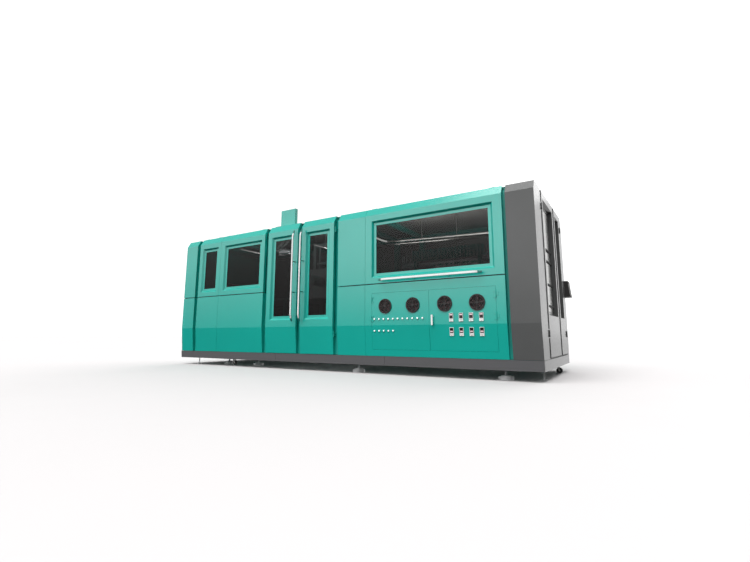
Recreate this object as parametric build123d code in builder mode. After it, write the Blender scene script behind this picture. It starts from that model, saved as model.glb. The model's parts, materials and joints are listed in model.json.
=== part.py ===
from build123d import *
import math
import os

# Linear stretch blow moulding machine in its sheet metal housing.
# Lengths run from the left end, depths from the upper front face, heights from the floor.

# Housing: widths of its sections from joint to joint, then its depth and heights
corner_width = 353
narrow_width = 589
wide_width = 1077
left_door_width = 683
right_door_width = 664
fixed_width = 484
oven_width = 1823
grey_width = 327
depth = 1890
floor_clearance = 112
skirt_height = 115
crease_height = 607
seam_height = 1134
roof_height = 2151
chamfer_height = 100
chamfer_depth = 55
lean_depth = 32
skirt_top = floor_clearance + skirt_height
face_height = roof_height - chamfer_height

# Joints between the covers, from the left end
corner_groove = corner_width
flap_seam = corner_groove + narrow_width
panel_groove = flap_seam + wide_width
door_groove = panel_groove + left_door_width
fixed_groove = door_groove + right_door_width
oven_seam = fixed_groove + fixed_width
grey_joint = oven_seam + oven_width
length = grey_joint + grey_width
skirt_joint_offsets = (-43, 238, 271)
skirt_joints = (corner_groove + skirt_joint_offsets[0], panel_groove + skirt_joint_offsets[1],
                oven_seam + skirt_joint_offsets[2])

# Sheet metal covers
sheet = 3
flange = 40
skirt_flange = 20
cover_lift = 3
fine_seam = 3
level_seam = 12
groove = 78
grey_gap = 40
roof_strip = chamfer_depth + flange
corner_radius = 20

# Windows: margins from their covers' edges to the outer edges of their bevelled recesses
narrow_margins = (76, 68.5)
wide_margins = (96.5, 69)
left_door_margins = (79, 77)
right_door_margins = (77, 75)
oven_margins = (98.5, 106)
window_top = face_height - 80
flap_window_low = seam_height + 81
door_window_low = crease_height + 99
end_window_top = roof_height - 89
window_bevel = 25
window_recess = 25
window_frame = 32
glass = 6
glass_lap = 12

# Feet and casters, and the stations of those along the length
mount_pad_radius = 82
mount_pad_height = 38
mount_plate_radius = 55
mount_plate_height = 10
mount_stud_radius = 10
mount_nut_radius = 17
mount_nut_height = 12
mount_offsets = (172, 539, 250, 118)
mount_joints = (flap_seam, panel_groove, oven_seam, grey_joint)
mount_stations = [place - offset for place, offset in zip(mount_joints, mount_offsets)]
mount_insets = (440, 440, 240, 240)
foot_pad_radius = 32
foot_pad_height = 10
foot_stem_radius = 8
left_foot = corner_groove - 68
right_foot = length - 86
foot_places = ((left_foot, 200), (right_foot, 455))
left_caster = flap_seam + 148
caster_places = ((left_caster, 270), (right_foot, depth - 550))
caster_radius = 37.5
caster_width = 25
caster_lift = 4
caster_trail = 28
caster_socket_height = 15
caster_stem_radius = 10
caster_axle_radius = 4
crown_thickness = 8
crown_half_width = 18
fork_eye_radius = 10
fork_plate = 4
fork_clearance = 2
running_fit = 0.05
slide_gap = 0.3
spare = 1

# Frames
base_rail = 100
base_rail_inset = 66
base_wall = 5
cross_member_width = 80
post_size = 80
post_wall = 4
post_setback = 76
corner_post = 90
end_post = length - 110
oven_leg = oven_seam + 650
bed_legs = (mount_stations[0], panel_groove, fixed_groove, oven_leg, mount_stations[3])
cross_members = (corner_post, left_foot, left_caster, mount_stations[1], door_groove, mount_stations[2],
                 right_foot, *bed_legs)
roof_rail = 60
roof_rail_inset = 100
end_rail_size = 40
end_rail_heights = (880, 1157, 1488, 1626)
weld_gap = 0.2
frame_ends = 50

# End doors at the right end
end_leaf_depth = 60
front_wrap = 400
end_door_seam = 0.657 * depth
end_leaf_gap = 6
rear_wrap = 137
end_window_margin = 100
end_window_recess = 42

# Pull handles
handle_width = 26
handle_thickness = 14
handle_standoff = 75
handle_bend = 28
handle_taper = 92
handle_pin_radius = 7
handle_pin_spacing = 448
handle_edge = 5
door_handle_span = (crease_height + 74, roof_height - 139)
door_pins_below_middle = 21.5
door_handle_inset = 35
oven_handle_margins = (233.5, 237)
oven_handle_height = seam_height + 43
oven_pins_past_middle = 37.5

# Hinges: a middle knuckle with the pin on the housing, two outer knuckles on the door or flap
hinge_radius = 6
hinge_pin_radius = 2.5
hinge_knuckle = 40
hinge_side_knuckle = 20
hinge_leaf = 4
hinge_leaf_width = 80
hinge_leaf_depth = 30
flap_hinge_inset = 110
groove_hinge_offset = 8
groove_hinge_depth = 20
tall_hinge_heights = (skirt_top + 273, roof_height - 201)

# Control cabinet
cabinet_margins = (102.5, 105)
cabinet_low = skirt_top + 78
cabinet_high = seam_height - 118
cabinet_height = cabinet_high - cabinet_low
cabinet_hinge_shares = (0.205, 0.79)
cabinet_hinge_heights = [crease_height + share * (cabinet_high - crease_height)
                         for share in cabinet_hinge_shares]
cabinet_door_gap = 2
cabinet_flange = 25
cabinet_box_low = skirt_top
cabinet_box_high = cabinet_high + 24
cabinet_box_height = cabinet_box_high - cabinet_box_low
cabinet_box_margin = 50
cabinet_box_clearance = 54
relay_width = 60
relay_height = 90
relay_depth = 70
relay_pitch = 150
relay_shares = (0.31, 0.705)

# Fans
fan_height = cabinet_low + 0.76 * cabinet_height
fan_shares = (0.25, 0.735)
fan_bezel_radius = 92
fan_tube_radius = 85
fan_bore_radius = 79
fan_play = 0.5
fan_proud = 12
fan_depth = 50
fan_guard_radii = (62, 42)
fan_guard_bar = 4
fan_hub_radius = 20
fan_axle_radius = 3
fan_blade_count = 5
fan_blade_angle = 35
fan_blade_thickness = 3
fan_blade_chord = 30

# Temperature controllers, lamps and latch, in rows below the fans
meter_width = 48
meter_height = 96
meter_proud = 9
meter_body_width = 45
meter_body_height = 92
meter_body_depth = 60
meter_window_width = 38
meter_window_heights = ((18, 34), (-16, 18))
meter_window_depth = 2
meter_margin = 167
meter_pitch = 117
meter_columns = 4
upper_row = fan_height - 160
upper_row_rise = upper_row - cabinet_low
meter_rows = (upper_row, cabinet_low + 0.574 * upper_row_rise)
lamp_radius = 11
lamp_proud = 9
lamp_shank_radius = 8
lamp_shank_length = 25
lamp_margins = (42, 81.5)
lamp_counts = (11, 5)
lamp_rows = (upper_row, cabinet_low + 0.615 * upper_row_rise)
fitting_play = 0.1
latch_inset = 44.5
latch_high = crease_height + 113
latch_low = crease_height - 7
latch_width = 20
latch_thickness = 12
latch_standoff = 18
latch_pivot_drop = 18
latch_shank_radius = 8
latch_cam_length = 40
latch_cam_width = 14
latch_cam_thickness = 4

# Roof box and its cable entry
roof_box_left = panel_groove + 89
roof_box_width = 301
roof_box_inset = 200
roof_box_depth = 58
roof_box_height = 304
roof_box_edge = 4
cable_entry_width = 146
cable_entry_height = 62
cable_entry_slope = 40

# Operator console behind the rear right corner
console_overhang = 65
console_reach = 220
console_back = 35
console_top_depth = 75
console_width = 190
console_low = 1022
console_height = 228
console_lug = 32
console_pivot_inset = 55
console_pivot_reach = 55
console_post_radius = 12
console_pin_radius = 8
console_bar = 18
console_bar_middle = 1135
console_plate = 8
console_plate_width = 70
console_plate_height = 120
console_screen_rim = 14
console_screen_depth = 2

# Clamp and blowing station
mould_middle = door_groove
clamp_width = 900
clamp_plate = 40
clamp_clearance = 140
clamp_height = 430
tie_bar_radius = 25
tie_bar_edge = 60
platen_thickness = 60
platen_lift = 20
platen_travel = 120
mould_width = 700
mould_height = 260
mould_thickness = 90
mould_lift = 100
parting_gap = 0.3
clamp_span = 2 * (mould_thickness + platen_thickness + platen_travel + clamp_clearance + clamp_plate)
cavity_count = 4
cavity_pitch = 160
cavity_radius = 35
cavity_height = 200
neck_radius = 14
ram_radius = 40
ram_cylinder_radius = 80
ram_cylinder_clearance = 119
ram_cylinder_length = (depth - clamp_span) / 2 - post_setback - post_size - ram_cylinder_clearance
gantry_column = 60
guide_radius = 15
guide_inset = 60
head_thickness = 50
head_depth = 80
head_overlap = 60
nozzle_radius = 25
nozzle_gap = 0.5
head_travel = 60
stretch_plate = 30
stretch_rod_depth = 190
stretch_rod_radius = 6
stretch_travel = 250
stretch_clearance = 20
head_lift = mould_lift + mould_height + head_overlap
carriage_lift = head_lift + head_thickness + head_travel + head_overlap
gantry_height = carriage_lift + stretch_plate + stretch_travel + stretch_clearance + gantry_column

# Machine bed, low enough for the gantry to clear the roof
bed = (corner_groove + 77, grey_joint - 73)
bed_width = 990
bed_inset = (depth - bed_width) / 2
bed_thickness = 30
bed_leg = 80
gantry_clearance = 121
bed_top = roof_height - gantry_clearance - gantry_height
bed_height = bed_top - bed_thickness
outfeed_width = 500
outfeed_height = 420

# Oven
sprocket_left = oven_seam + 330
sprocket_right = grey_joint - 343
sprocket_spacing = sprocket_right - sprocket_left
sprocket_inset = depth / 2 - 35
sprocket_radius = 218
sprocket_tooth = 10
sprocket_teeth = 24
sprocket_thickness = 20
shaft_radius = 25
bearing_radius = 50
bearing_height = 40
chain_height = 28
chain_low = bed_top + 396
chain_inner_radius = 222
chain_width = 16
guide_rail_height = 30
guide_post_radius = 12
mandrel_radius = 13
mandrel_height = 50
preform_radius = 10
preform_height = 90
straight_mandrels = 9
curve_mandrels = 5
lamp_bank = (sprocket_left + 80, sprocket_right - 80)
lamp_bank_gap = 60
lamp_bank_plate = 8
fin_depth = 50
fin_thickness = 8
fin_pitch = 45
fin_low = chain_low + 14
fin_height = 150

# Transfer
transfer_middle = depth / 2
transfer_rail_width = 50
transfer_rail_height = 50
transfer_rail_start = bed[0] + 50
transfer_end_margin = 140
transfer_travel = 900
carriage_length = 240
carriage_cheek = 20
carriage_roof = 25
gripper_count = 4
gripper_reach = 130
gripper_width = 24
gripper_height = 20
gripper_gap = 60

# The frame's origin is on the floor below the middle of the whole outline.
handle_reach = handle_standoff + handle_thickness / 2
x_left = -(length + console_overhang) / 2
y_front = -(depth + console_reach - handle_reach) / 2


# Planes and plain shapes

def floor_plane(height=0):
    """Seen from above: sketch x is length, sketch y is depth."""
    return Plane(origin=(x_left, y_front, height))


def side_plane(x):
    """Seen from the right: sketch x is depth, sketch y is height."""
    return Plane(origin=(x_left + x, y_front, 0), x_dir=(0, 1, 0), z_dir=(1, 0, 0))


def rear_side_plane(x):
    """The side plane turned round, with its depth counted from the rear face."""
    return Plane(origin=(x_left + x, y_front + depth, 0), x_dir=(0, -1, 0), z_dir=(-1, 0, 0))


def front_plane(inset=0):
    """Seen from the front: sketch x is length, sketch y is height."""
    return Plane(origin=(x_left, y_front + inset, 0), x_dir=(1, 0, 0), z_dir=(0, -1, 0))


def end_plane(inset=0):
    """Seen from the right end: sketch x is depth, sketch y is height."""
    return side_plane(length - inset)


def face_depth(height):
    """Depth of the housing's face at a height: leaning skirt, upright face, chamfered roof edge."""
    if height < crease_height:
        return lean_depth * (crease_height - height) / (crease_height - skirt_top)
    if height > face_height:
        return chamfer_depth * (height - face_height) / (roof_height - face_height)
    return 0


def face_plane(x, height):
    """Plane on the face below the chamfer at a point, with its normal pointing out of the machine."""
    run = lean_depth if height < crease_height else 0
    normal = (0, -(crease_height - skirt_top), -run)
    return Plane(origin=(x_left + x, y_front + face_depth(height), height), x_dir=(1, 0, 0), z_dir=normal)


def middle(pair):
    return (pair[0] + pair[1]) / 2


def block(x, y, z, mode=Mode.ADD):
    """Straight block between pairs of limits."""
    with BuildSketch(floor_plane(z[0]), mode=Mode.PRIVATE) as base:
        with Locations((middle(x), middle(y))):
            Rectangle(x[1] - x[0], y[1] - y[0])
    extrude(base.sketch, amount=z[1] - z[0], mode=mode)


def prism(plane, outline, amount, mode=Mode.ADD):
    """Outline on a plane, drawn out along the plane's normal."""
    with BuildSketch(plane, mode=Mode.PRIVATE) as profile:
        with BuildLine():
            Polyline(*outline, close=True)
        make_face()
    extrude(profile.sketch, amount=amount, mode=mode)


def disc(plane, place, radius, amount, mode=Mode.ADD):
    """Round bar or hole at a place on a plane."""
    with BuildSketch(plane, mode=Mode.PRIVATE) as profile:
        with Locations(place):
            Circle(radius)
    extrude(profile.sketch, amount=amount, mode=mode)


def ring(plane, place, outer, inner, amount):
    """Round tube at a place on a plane."""
    with BuildSketch(plane, mode=Mode.PRIVATE) as profile:
        with Locations(place):
            Circle(outer)
            Circle(inner, mode=Mode.SUBTRACT)
    extrude(profile.sketch, amount=amount)


def tubes(plane, places, size, wall, amount):
    """Rectangular tubes of one section, drawn out from a plane."""
    with BuildSketch(plane, mode=Mode.PRIVATE) as profile:
        with Locations(*places):
            Rectangle(size[0], size[1])
            Rectangle(size[0] - 2 * wall, size[1] - 2 * wall, mode=Mode.SUBTRACT)
    extrude(profile.sketch, amount=amount)


def save(item, name):
    item.part.label = name
    export_step(item.part, "parts/" + name + ".step")


# Folded covers and windows

def bend_heights(z, seat=0, fold=0):
    """Heights between two limits where a cover's side view bends, ends included."""
    bends = [crease_height, face_height]
    if seat > fold:
        bends.append(face_height + (seat - fold) * (roof_height - face_height) / chamfer_depth)
    return [z[0]] + [h for h in sorted(bends) if z[0] < h < z[1]] + [z[1]]


def cover_outline(z, inset, back, seat=0):
    """Closed side view of a cover: it follows the face, and goes back at least to its seat."""
    heights = bend_heights(z, seat, back)
    face = [(face_depth(h) + inset, h) for h in heights]
    rear = [(max(face_depth(h) + back, seat), h) for h in reversed(heights)]
    return face + rear


def folded_cover(x, z, rear=False, fold=flange, seat=0):
    """Sheet cover with folded edges, open behind, which follows the housing's face."""
    start = rear_side_plane(x[1]) if rear else side_plane(x[0])
    width = x[1] - x[0]
    prism(start, cover_outline(z, 0, fold, seat), width)
    inside = (z[0] + sheet, z[1] - sheet)
    hollow = cover_outline(inside, sheet, fold + sheet, seat + sheet)
    prism(start.offset(sheet), hollow, width - 2 * sheet, Mode.SUBTRACT)


def seated_cover(x, z, rear=False):
    """Fixed cover whose folded edges reach back to the posts."""
    folded_cover(x, z, rear, flange, post_setback)


def end_outline(z, fold, seat, margin):
    """Closed side view of one end of the housing, between the folds of the covers round it."""
    front = [(max(face_depth(h) + fold, seat) + margin, h) for h in bend_heights(z, seat, fold)]
    return front + [(depth - y, h) for y, h in reversed(front)]


def end_tray(z, fold, seat, reach, right=False):
    """Sheet cover with folded edges on one end of the housing, open towards the inside."""
    start = side_plane(length if right else 0)
    inward = -1 if right else 1
    prism(start, end_outline(z, fold, seat, fine_seam), inward * reach)
    inside = (z[0] + sheet, z[1] - sheet)
    hollow = end_outline(inside, fold, seat, fine_seam + sheet)
    prism(start.offset(inward * sheet), hollow, inward * reach, Mode.SUBTRACT)


def frustum(plane, centre, mouth_size, seat_size, reach, mode=Mode.ADD):
    """Solid that narrows from a rectangle on a plane to one behind it."""
    with BuildSketch(plane, mode=Mode.PRIVATE) as mouth:
        with Locations(centre):
            Rectangle(*mouth_size)
    with BuildSketch(plane.offset(-reach), mode=Mode.PRIVATE) as seat:
        with Locations(centre):
            Rectangle(*seat_size)
    loft([mouth.sketch, seat.sketch], mode=mode)


def cut_window(plane, across, up, recess):
    """Bevelled recess that ends in a flat frame round the glass opening."""
    centre = (middle(across), middle(up))
    size = (across[1] - across[0], up[1] - up[0])
    slope = window_bevel / recess
    wall = 2 * sheet * math.hypot(1, slope)
    behind = recess + sheet
    outer_mouth = [s + wall for s in size]
    outer_seat = [s + wall - 2 * slope * behind for s in size]
    inner_seat = [s - 2 * window_bevel for s in size]
    opening = [s - 2 * window_bevel - 2 * window_frame for s in size]
    frustum(plane, centre, outer_mouth, outer_seat, behind)
    frustum(plane, centre, size, inner_seat, recess, Mode.SUBTRACT)
    with BuildSketch(plane.offset(-recess), mode=Mode.PRIVATE) as hole:
        with Locations(centre):
            Rectangle(*opening)
    extrude(hole.sketch, amount=-sheet, mode=Mode.SUBTRACT)


def pane(plane, across, up, recess):
    """Glass pane behind a window's flat frame."""
    margin = window_bevel + window_frame - glass_lap
    with BuildSketch(plane.offset(-recess - sheet), mode=Mode.PRIVATE) as outline:
        with Locations((middle(across), middle(up))):
            Rectangle(across[1] - across[0] - 2 * margin, up[1] - up[0] - 2 * margin)
    extrude(outline.sketch, amount=-glass)


def pull_handle(plane, span, pin_middle):
    """Flat bar with rounded edges and bent ends on two pins; sketch y runs along the bar."""
    half = handle_thickness / 2
    line = [(-handle_standoff + handle_bend, span[0]), (-handle_standoff, span[0] + handle_taper)]
    line += [(-handle_standoff, span[1] - handle_taper), (-handle_standoff + handle_bend, span[1])]
    outer = [(a - half, b) for a, b in line]
    inner = [(a + half, b) for a, b in reversed(line)]
    with BuildPart() as handle:
        prism(plane.offset(-handle_width / 2), outer + inner, handle_width)
        sides = handle.faces().filter_by(Axis((0, 0, 0), plane.z_dir))
        fillet(sides.edges(), radius=handle_edge)
        for along in (pin_middle - handle_pin_spacing / 2, pin_middle + handle_pin_spacing / 2):
            seat = Plane(origin=plane.from_local_coords((0, along, 0)), z_dir=plane.x_dir)
            disc(seat, (0, 0), handle_pin_radius, -handle_standoff)
    return handle


os.makedirs("parts", exist_ok=True)

lower = (skirt_top, seam_height - level_seam / 2)
upper = (seam_height + level_seam / 2, roof_height)
full = (skirt_top, roof_height)
door_span = (skirt_top + cover_lift, roof_height)
flap_heights = (flap_window_low, window_top)
door_heights = (door_window_low, window_top)


def joint(place, gap, side):
    """Edge of the cover beside a joint: side is -1 to its left and 1 to its right."""
    return place + side * gap / 2


left_corner = (0, joint(corner_groove, groove, -1))
narrow = (joint(corner_groove, groove, 1), joint(flap_seam, fine_seam, -1))
wide = (joint(flap_seam, fine_seam, 1), joint(panel_groove, groove, -1))
door_1 = (joint(panel_groove, groove, 1), joint(door_groove, groove, -1))
door_2 = (joint(door_groove, groove, 1), joint(fixed_groove, groove, -1))
fixed = (joint(fixed_groove, groove, 1), joint(oven_seam, fine_seam, -1))
oven = (joint(oven_seam, fine_seam, 1), joint(grey_joint, grey_gap, -1))
grey = (joint(grey_joint, grey_gap, 1), length)


def within(span, margins):
    """What two margins leave of a stretch."""
    return (span[0] + margins[0], span[1] - margins[1])


narrow_window = within(narrow, narrow_margins)
wide_window = within(wide, wide_margins)
left_door_window = within(door_1, left_door_margins)
right_door_window = within(door_2, right_door_margins)
oven_window = within(oven, oven_margins)
cabinet_opening = within(oven, cabinet_margins)
cabinet_middle = middle(cabinet_opening)

# Base frame: two long rails, cross members between them, and sockets for the casters
rail_low = skirt_top - base_rail
rail_middle = base_rail_inset + base_rail / 2
member_start = base_rail_inset + base_rail + weld_gap
member_end = depth - member_start
with BuildPart() as base_frame:
    rail_places = [(rail_middle, rail_low + base_rail / 2), (depth - rail_middle, rail_low + base_rail / 2)]
    tubes(side_plane(skirt_flange), rail_places, (base_rail, base_rail), base_wall, length - 2 * skirt_flange)
    member_places = [(x, rail_low + base_rail / 2) for x in cross_members]
    member_size = (cross_member_width, base_rail)
    tubes(front_plane(member_end), member_places, member_size, base_wall, member_end - member_start)
    for place in caster_places:
        ring(floor_plane(rail_low), place, 2 * caster_stem_radius, caster_stem_radius + running_fit,
             -caster_socket_height)
save(base_frame, "base_frame")

# Skirt panels: leaning ones at the front and rear, upright ones at the ends
skirt = (floor_clearance, skirt_top - fine_seam)
edges_along = [0, *skirt_joints, length]
with BuildPart() as skirt_panels:
    for low_x, high_x in zip(edges_along[:-1], edges_along[1:]):
        span = (low_x + fine_seam / 2 * (low_x > 0), high_x - fine_seam / 2 * (high_x < length))
        folded_cover(span, skirt, False, skirt_flange, base_rail_inset)
        folded_cover(span, skirt, True, skirt_flange, base_rail_inset)
    end_tray(skirt, skirt_flange, base_rail_inset, skirt_flange)
    end_tray(skirt, skirt_flange, base_rail_inset, skirt_flange, True)
save(skirt_panels, "skirt_panels")

# Upper frame: posts behind the joints, roof rails, and short rails at the rear right corner
post_places_x = (corner_post, corner_groove, flap_seam, panel_groove, door_groove, fixed_groove,
                 oven_seam, grey_joint, end_post)
post_middle = post_setback + post_size / 2
rail_base = roof_height - sheet - roof_rail
roof_rail_middle = roof_rail_inset + roof_rail / 2
roof_rail_length = end_post + post_size / 2 - frame_ends
with BuildPart() as upper_frame:
    post_places = [(x, y) for x in post_places_x for y in (post_middle, depth - post_middle)]
    post_height = rail_base - weld_gap - skirt_top
    tubes(floor_plane(skirt_top), post_places, (post_size, post_size), post_wall, post_height)
    rail_places = [(y, rail_base + roof_rail / 2) for y in (roof_rail_middle, depth - roof_rail_middle)]
    tubes(side_plane(frame_ends), rail_places, (roof_rail, roof_rail), post_wall, roof_rail_length)
    cross_start = roof_rail_inset + roof_rail + weld_gap
    cross_places = [(x, rail_base + roof_rail / 2) for x in post_places_x]
    tubes(front_plane(depth - cross_start), cross_places, (roof_rail, roof_rail), post_wall,
          depth - 2 * cross_start)
    end_rail_start = grey_joint + post_size / 2 + weld_gap
    end_rail_places = [(depth - post_middle, z) for z in end_rail_heights]
    tubes(side_plane(end_rail_start), end_rail_places, (end_rail_size, end_rail_size), post_wall,
          end_post - post_size / 2 - weld_gap - end_rail_start)
save(upper_frame, "upper_frame")

# Roof sheets lie on the rails between the covers' roof strips
end_panel_reach = corner_post - post_size / 2
roof_start = end_panel_reach + fine_seam
roof_end = length - end_leaf_depth - fine_seam
with BuildPart() as roof_sheets:
    limits = [roof_start, panel_groove, oven_seam, roof_end]
    for low_x, high_x in zip(limits[:-1], limits[1:]):
        block((low_x, high_x - fine_seam), (roof_strip + fine_seam, depth - roof_strip - fine_seam),
              (roof_height - sheet, roof_height))
save(roof_sheets, "roof_sheets")


# Left corner covers, above and below the seam, with a rounded outer corner
def corner_section(height, inset):
    """Plan view of the corner cover at a height, drawn in on all sides but its back."""
    left = left_corner[0] + inset
    right = left_corner[1] - inset
    face = face_depth(height) + inset
    back = max(face_depth(height) + flange, post_setback) + inset
    radius = corner_radius - inset
    with BuildSketch(floor_plane(height)) as section:
        with BuildLine():
            Line((left + radius, face), (right, face))
            Line((right, face), (right, back))
            Line((right, back), (left, back))
            Line((left, back), (left, face + radius))
            CenterArc((left + radius, face + radius), radius, 180, 90)
        make_face()
    return section.sketch


def rounded_corner(z, inset):
    with BuildPart() as corner:
        loft([corner_section(h, inset) for h in bend_heights(z, post_setback, flange)], ruled=True)
    return corner.part


def corner_cover(z):
    return rounded_corner(z, 0) - rounded_corner((z[0] + sheet, z[1] - sheet), sheet)


left_corner_parts = [corner_cover(z) for z in (lower, upper)]
with BuildPart() as left_corner_covers:
    add(left_corner_parts)
save(left_corner_covers, "left_corner_covers")

# Left end panel with the bottle outfeed opening
outfeed = ((depth - outfeed_width) / 2, (depth + outfeed_width) / 2)
outfeed_heights = (bed_top, bed_top + outfeed_height)
with BuildPart() as left_end_panel:
    end_tray(full, flange, post_setback, end_panel_reach)
    block((0, flange), (outfeed[0] - sheet, outfeed[1] + sheet),
          (outfeed_heights[0] - sheet, outfeed_heights[1] + sheet))
    block((0, flange), outfeed, outfeed_heights, Mode.SUBTRACT)
save(left_end_panel, "left_end_panel")

# Lower left panels and the fixed panels beside the right door
with BuildPart() as lower_left_panels:
    seated_cover(narrow, lower)
    seated_cover(wide, lower)
save(lower_left_panels, "lower_left_panels")

with BuildPart() as fixed_panels:
    seated_cover(fixed, lower)
    seated_cover(fixed, upper)
save(fixed_panels, "fixed_panels")

# Rear covers run from skirt to roof
rear_limits = [0, panel_groove, oven_seam, oven[1]]
with BuildPart() as rear_covers:
    for low_x, high_x in zip(rear_limits[:-1], rear_limits[1:]):
        span = (low_x + fine_seam / 2 * (low_x > 0), high_x - fine_seam / 2 * (high_x < oven[1]))
        seated_cover(span, full, True)
save(rear_covers, "rear_covers")


# Grey covers wrap round the two corners of the right end
def corner_wrap(wrap, rear):
    """Cover of one corner: its face follows the housing, its end strip is as wide as the wrap."""
    start = rear_side_plane(length) if rear else side_plane(grey[0])
    width = length - grey[0]
    heights = (full[0], crease_height, face_height, full[1])
    face = [(face_depth(z), z) for z in heights]
    prism(start, face + [(wrap, full[1]), (wrap, full[0])], width)
    hollow_heights = (full[0] + sheet, crease_height, face_height, full[1] - sheet)
    hollow = [(face_depth(z) + sheet, z) for z in hollow_heights]
    hollow += [(wrap - sheet, full[1] - sheet), (wrap - sheet, full[0] + sheet)]
    prism(start.offset(sheet), hollow, width - 2 * sheet, Mode.SUBTRACT)
    inner_x = (grey[0], length - end_leaf_depth)
    behind_face = (post_setback, wrap)
    behind_strip = (roof_strip, wrap)
    if rear:
        behind_face = (depth - wrap, depth - post_setback)
        behind_strip = (depth - wrap, depth - roof_strip)
    block(inner_x, behind_face, (full[0], rail_base), Mode.SUBTRACT)
    block(inner_x, behind_strip, full, Mode.SUBTRACT)


with BuildPart() as end_section_covers:
    corner_wrap(front_wrap, False)
    corner_wrap(rear_wrap, True)
save(end_section_covers, "end_section_covers")


# Hinges
def outer_spans(place):
    """Stretches of a hinge's two outer knuckles along its axis."""
    gap = hinge_knuckle / 2 + slide_gap
    return ((place - gap - hinge_side_knuckle, place - gap), (place + gap, place + gap + hinge_side_knuckle))


def outer_knuckle(plane, place):
    """Bored knuckle that the pin passes through."""
    disc(plane, place, hinge_radius, hinge_side_knuckle)
    disc(plane, place, hinge_pin_radius + running_fit, hinge_side_knuckle, Mode.SUBTRACT)


def middle_knuckle(plane, place):
    """Middle knuckle and its pin, on both sides of a plane."""
    pin_half = hinge_knuckle / 2 + hinge_side_knuckle
    disc(plane.offset(-hinge_knuckle / 2), place, hinge_radius, hinge_knuckle)
    disc(plane.offset(-pin_half), place, hinge_pin_radius, 2 * pin_half)


def upright_outer_half(place, heights, leaf_x, leaf_y):
    """Outer knuckles of upright hinges, each with its leaf."""
    for z in heights:
        for span in outer_spans(z):
            block(leaf_x, leaf_y, span)
            outer_knuckle(floor_plane(span[0]), place)


def upright_middle_half(place, heights, leaf_x, leaf_y):
    """Middle knuckles and pins of upright hinges, each with its leaf."""
    for z in heights:
        block(leaf_x, leaf_y, (z - hinge_knuckle / 2, z + hinge_knuckle / 2))
        middle_knuckle(floor_plane(z), place)


# End doors: two leaves in the right end, each with a window
def end_leaf(span):
    window = (span[0] + end_window_margin, span[1] - end_window_margin)
    inside = (length - end_leaf_depth, length - sheet)
    low, high = door_span
    block((length - end_leaf_depth, length), span, door_span)
    block(inside, (span[0] + sheet, span[1] - sheet), (low + sheet, high - sheet), Mode.SUBTRACT)
    cut_window(end_plane(), window, (door_window_low, end_window_top), end_window_recess)


def end_pane(span):
    window = (span[0] + end_window_margin, span[1] - end_window_margin)
    pane(end_plane(), window, (door_window_low, end_window_top), end_window_recess)


front_leaf = (front_wrap + fine_seam, end_door_seam - end_leaf_gap / 2)
rear_leaf = (end_door_seam + end_leaf_gap / 2, depth - rear_wrap - fine_seam)
end_hinge_x = length + hinge_radius
end_leaf_x = (length, length + hinge_leaf)
front_end_hinge = (end_hinge_x, front_wrap + fine_seam / 2)
rear_end_hinge = (end_hinge_x, depth - rear_wrap - fine_seam / 2)
with BuildPart() as end_door_front:
    end_leaf(front_leaf)
    leaf_y = (front_end_hinge[1], front_end_hinge[1] + hinge_leaf_depth)
    upright_outer_half(front_end_hinge, tall_hinge_heights, end_leaf_x, leaf_y)
save(end_door_front, "end_door_front")

with BuildPart() as end_door_front_glass:
    end_pane(front_leaf)
save(end_door_front_glass, "end_door_front_glass")

with BuildPart() as end_door_rear:
    end_leaf(rear_leaf)
    leaf_y = (rear_end_hinge[1] - hinge_leaf_depth, rear_end_hinge[1])
    upright_outer_half(rear_end_hinge, tall_hinge_heights, end_leaf_x, leaf_y)
save(end_door_rear, "end_door_rear")

with BuildPart() as end_door_rear_glass:
    end_pane(rear_leaf)
save(end_door_rear_glass, "end_door_rear_glass")

# Tall doors with windows and pull handles
groove_leaf_y = (groove_hinge_depth - hinge_leaf / 2, groove_hinge_depth + hinge_leaf / 2)
left_hinge = (door_1[0] - groove_hinge_offset, groove_hinge_depth)
right_hinge = (door_2[1] + groove_hinge_offset, groove_hinge_depth)
with BuildPart() as left_door:
    folded_cover(door_1, door_span)
    cut_window(front_plane(), left_door_window, door_heights, window_recess)
    upright_outer_half(left_hinge, tall_hinge_heights, (left_hinge[0], door_1[0] + sheet), groove_leaf_y)
save(left_door, "left_door")

with BuildPart() as left_door_glass:
    pane(front_plane(), left_door_window, door_heights, window_recess)
save(left_door_glass, "left_door_glass")

door_pins = middle(door_handle_span) - door_pins_below_middle
left_door_handle = pull_handle(side_plane(door_1[1] - door_handle_inset), door_handle_span, door_pins)
save(left_door_handle, "left_door_handle")

with BuildPart() as right_door:
    folded_cover(door_2, door_span)
    cut_window(front_plane(), right_door_window, door_heights, window_recess)
    upright_outer_half(right_hinge, tall_hinge_heights, (door_2[1] - sheet, right_hinge[0]), groove_leaf_y)
save(right_door, "right_door")

with BuildPart() as right_door_glass:
    pane(front_plane(), right_door_window, door_heights, window_recess)
save(right_door_glass, "right_door_glass")

right_door_handle = pull_handle(side_plane(door_2[0] + door_handle_inset), door_handle_span, door_pins)
save(right_door_handle, "right_door_handle")

# Flaps over the upper half, hinged at the roof
hinge_depth = roof_strip + fine_seam / 2
hinge_height = roof_height + hinge_radius + slide_gap


def hinge_places(span):
    return (span[0] + flap_hinge_inset, span[1] - flap_hinge_inset)


def flap_knuckles(span):
    """The flap's half of each hinge: a leaf on its roof strip and two outer knuckles."""
    leaf_y = (chamfer_depth, hinge_depth - hinge_radius - spare)
    leaf_z = (roof_height, roof_height + hinge_leaf)
    for x in hinge_places(span):
        block((x - hinge_leaf_width / 2, x + hinge_leaf_width / 2), leaf_y, leaf_z)
        for ends in outer_spans(x):
            block(ends, (leaf_y[1] - spare, hinge_depth), leaf_z)
            outer_knuckle(side_plane(ends[0]), (hinge_depth, hinge_height))


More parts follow.
